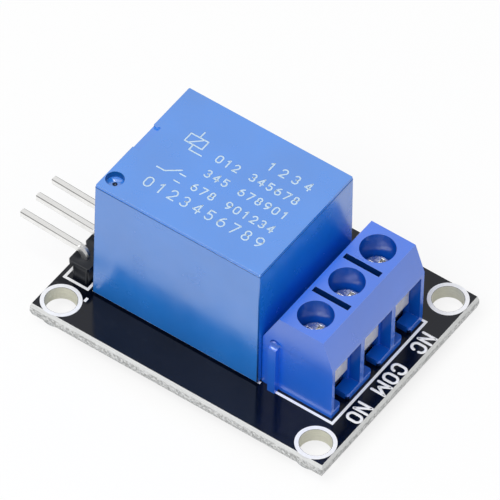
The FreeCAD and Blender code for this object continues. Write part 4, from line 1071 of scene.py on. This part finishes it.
class OBJECT_OT_small_parts(PieceOperator, bpy.types.Operator):
    """Round and finish the small surface parts behind the relay, on their tinned lands"""
    bl_idname = "object.small_parts"
    bl_label = "Small parts"

    def execute(self, context):
        tin = plated_metal("tinned_cap", (0.74, 0.74, 0.73), rough=0.25)
        finishes = {
            # The epoxy's rounded edges get a faint painted highlight.
            "epoxy": moulded_plastic("black_epoxy", (0.018, 0.018, 0.019), 0.45, grain=0.006 * MM, edge=0.05),
            "tin": tin,
            "laminate": moulded_plastic("white_lamp_base", (0.80, 0.79, 0.74), rough=0.5),
            "red": tinted_resin("red_resin", (0.75, 0.05, 0.03)),
            "green": tinted_resin("green_resin", (0.15, 0.60, 0.12)),
        }
        for piece, node, radius, finish, slot in SMALL_PIECES:
            rounded_piece(piece, node, radius * MM, finishes[finish], "root")
        keep("part_lands", land_shape(), tin, "root")
        white = screen_ink("diode_ink", (0.75, 0.75, 0.73))
        keep("diode_band", band_shape(), white, "root")
        return {"FINISHED"}


BAND_REACH = (1.1 * MM, 0.6 * MM)
BAND_INSET = 0.32 * MM
BAND_SINK = 0.01 * MM
BAND_PROUD = 0.008 * MM
LAND_LEVELS = (BOARD_HIGH.z - 0.01 * MM, BOARD_HIGH.z + 0.03 * MM)
LAND_REACH = 0.3 * MM
LAND_MARGIN = 0.08 * MM
STRAP_LAND = 0.7 * MM
LAMP_LAND = 0.4 * MM
LEG_PITCH = 0.95 * MM
LEG_LAND_HALF = 0.32 * MM
BODY_GAP = 0.3 * MM


def band_shape():
    """The printed band across the diode's top, near its +X end."""
    low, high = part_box("diode_body")
    shape = bmesh.new()
    block(shape, (high.x - BAND_REACH[0], low.y + BAND_INSET, high.z - BAND_SINK),
          (high.x - BAND_REACH[1], high.y - BAND_INSET, high.z + BAND_PROUD))
    return shape


def land_shape():
    """Tinned lands on the board at the ends of the small parts."""
    shape = bmesh.new()
    for node, inward in (("diode_leads", STRAP_LAND), ("power_led_base", LAMP_LAND),
                         ("status_led_base", LAMP_LAND)):
        add_end_lands(shape, *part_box(node), inward)
    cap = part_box("base_resistor")[0].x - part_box("resistor_caps")[0].x
    for node in ("base_resistor", "lamp_resistor"):
        low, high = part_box(node)
        add_end_lands(shape, Vector((low.x - cap, low.y)), Vector((high.x + cap, high.y)), cap)
    add_leg_lands(shape)
    return shape


def add_land(shape, low, high):
    """Add one land between two corners on the board."""
    block(shape, (*low, LAND_LEVELS[0]), (*high, LAND_LEVELS[1]))


def add_end_lands(shape, low, high, inward):
    """Add the two lands of a part that lies along X."""
    near, far = low.y - LAND_MARGIN, high.y + LAND_MARGIN
    add_land(shape, (low.x - LAND_REACH, near), (low.x + inward, far))
    add_land(shape, (high.x - inward, near), (high.x + LAND_REACH, far))


def add_leg_lands(shape):
    """Add the transistor's lands: two on its near side and one on its far side."""
    low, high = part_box("transistor_leads")
    body_low, body_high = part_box("transistor_body")
    middle = (low.x + high.x) / 2
    near = (low.y - LAND_MARGIN, body_low.y - BODY_GAP)
    far = (body_high.y + BODY_GAP, high.y + LAND_MARGIN)
    for across, side in ((middle - LEG_PITCH, near), (middle + LEG_PITCH, near), (middle, far)):
        add_land(shape, (across - LEG_LAND_HALF, side[0]), (across + LEG_LAND_HALF, side[1]))


KEY_LAMP = {"place": (0.0, -0.36, 0.66), "size": 0.5}
FILL_LAMP = {"place": (0.55, 0.05, 0.35), "size": 0.4}
FLOOR_HALF = 3.0
SENSOR_WIDTH = 36.0


class SCENE_OT_relay_board_stage(PieceOperator, bpy.types.Operator):
    """Set the floor, the light and the camera"""
    bl_idname = "scene.relay_board_stage"
    bl_label = "Stage"

    def execute(self, context):
        settings = context.scene.relay_board_stage
        scene = context.scene
        scene.view_settings.view_transform = "Standard"
        lay_floor(settings)
        light_world(scene, settings)
        hang_lamp("key_lamp", settings.key_power, **KEY_LAMP)
        hang_lamp("fill_lamp", settings.fill_power, **FILL_LAMP)
        set_camera(scene, settings)
        return {"FINISHED"}


def seen_rays(tree):
    """One for rays from the camera, from gloss and through glass, and nothing for the rest."""
    path = add_node(tree, "LightPath").outputs
    seen = calculate(tree, "MAXIMUM", path["Is Camera Ray"], path["Is Glossy Ray"])
    return calculate(tree, "MAXIMUM", seen, path["Is Transmission Ray"])


def lay_floor(settings):
    """Lay the floor at the object's lowest point."""
    shape = bmesh.new()
    bmesh.ops.create_grid(shape, x_segments=1, y_segments=1, size=FLOOR_HALF)
    bmesh.ops.translate(shape, verts=shape.verts, vec=(0, 0, CAD_BOX[0][2]))
    floor = new_object("floor", new_mesh("floor", shape))
    floor.data.materials.append(pale_floor(settings))


def pale_floor(settings):
    """A pale matt that looks white, keeps the object's shadow and is clear from below."""
    material = bpy.data.materials.new("pale_floor")
    material.use_nodes = True
    tree = material.node_tree
    tree.nodes.clear()
    seen = seen_rays(tree)
    inputs = {"Factor": seen, "A": (*settings.floor, 1.0), "B": WHITE}
    tint = add_node(tree, "Mix", inputs, data_type="RGBA").outputs["Result"]
    matt = add_node(tree, "BsdfDiffuse", {"Color": tint}).outputs["BSDF"]
    glow = add_node(tree, "Emission", {"Strength": 1.0}).outputs["Emission"]
    share = calculate(tree, "MULTIPLY", seen, settings.floor_glow)
    pale = add_node(tree, "MixShader", {"Fac": share, 1: matt, 2: glow}).outputs["Shader"]
    below = add_node(tree, "NewGeometry").outputs["Backfacing"]
    clear = add_node(tree, "BsdfTransparent").outputs["BSDF"]
    one_sided = add_node(tree, "MixShader", {"Fac": below, 1: pale, 2: clear}).outputs["Shader"]
    add_node(tree, "OutputMaterial", {"Surface": one_sided})
    return material


def light_world(scene, settings):
    """Even light from all round, seen as white."""
    world = bpy.data.worlds.new("studio")
    world.use_nodes = True
    tree = world.node_tree
    inputs = {"Value": seen_rays(tree), "To Min": settings.sky, "To Max": 1.0}
    strength = add_node(tree, "MapRange", inputs).outputs["Result"]
    fill(tree, tree.nodes["Background"], {"Color": WHITE, "Strength": strength})
    scene.world = world


def hang_lamp(name, power, place, size):
    """A square lamp aimed at the object."""
    data = bpy.data.lights.new(name, "AREA")
    data.energy = power
    data.size = size
    aim = Vector(place).to_track_quat("Z", "Y").to_matrix().to_4x4()
    new_object(name, data).matrix_world = Matrix.Translation(place) @ aim


def set_camera(scene, settings):
    """A long-lens camera at the view of the reference picture."""
    turn, rise = settings.azimuth, settings.elevation
    back = Vector((math.sin(turn) * math.cos(rise), -math.cos(turn) * math.cos(rise), math.sin(rise)))
    right = Vector((math.cos(turn), math.sin(turn), 0))
    level = Matrix((right, back.cross(right), back)).transposed()
    data = bpy.data.cameras.new("camera")
    data.lens = settings.lens
    data.sensor_width = SENSOR_WIDTH
    camera = new_object("camera", data)
    place = Vector(settings.target) + back * settings.distance
    tilt = Matrix.Rotation(settings.roll, 3, "Z")
    camera.matrix_world = Matrix.Translation(place) @ (level @ tilt).to_4x4()
    scene.camera = camera


OPERATORS = (
    OBJECT_OT_relay_board_laminate, OBJECT_OT_relay_board_print, OBJECT_OT_relay_board_underside,
    OBJECT_OT_relay_cover, OBJECT_OT_relay_works, OBJECT_OT_terminal_block, OBJECT_OT_terminal_metal,
    OBJECT_OT_pin_header, OBJECT_OT_small_parts, SCENE_OT_relay_board_stage,
)


class VIEW3D_PT_relay_board(bpy.types.Panel):
    """Lists the board's pieces and its stage"""
    bl_label = "Relay board"
    bl_idname = "VIEW3D_PT_relay_board"
    bl_space_type = "VIEW_3D"
    bl_region_type = "UI"
    bl_category = "Relay board"

    def draw(self, context):
        for operator in OPERATORS:
            self.layout.operator(operator.bl_idname)


CLASSES = (*SETTINGS.values(), *OPERATORS, VIEW3D_PT_relay_board)


def register():
    """Register the classes and hang the settings on the scene."""
    for item in CLASSES:
        bpy.utils.register_class(item)
    for name, group in SETTINGS.items():
        setattr(bpy.types.Scene, name, PointerProperty(type=group))


def unregister():
    """Take the settings and the classes away again."""
    for name in SETTINGS:
        delattr(bpy.types.Scene, name)
    for item in reversed(CLASSES):
        bpy.utils.unregister_class(item)


def main():
    """Build every piece in order."""
    register()
    for operator in OPERATORS:
        group, name = operator.bl_idname.split(".")
        getattr(getattr(bpy.ops, group), name)()


if __name__ == "__main__":
    main()
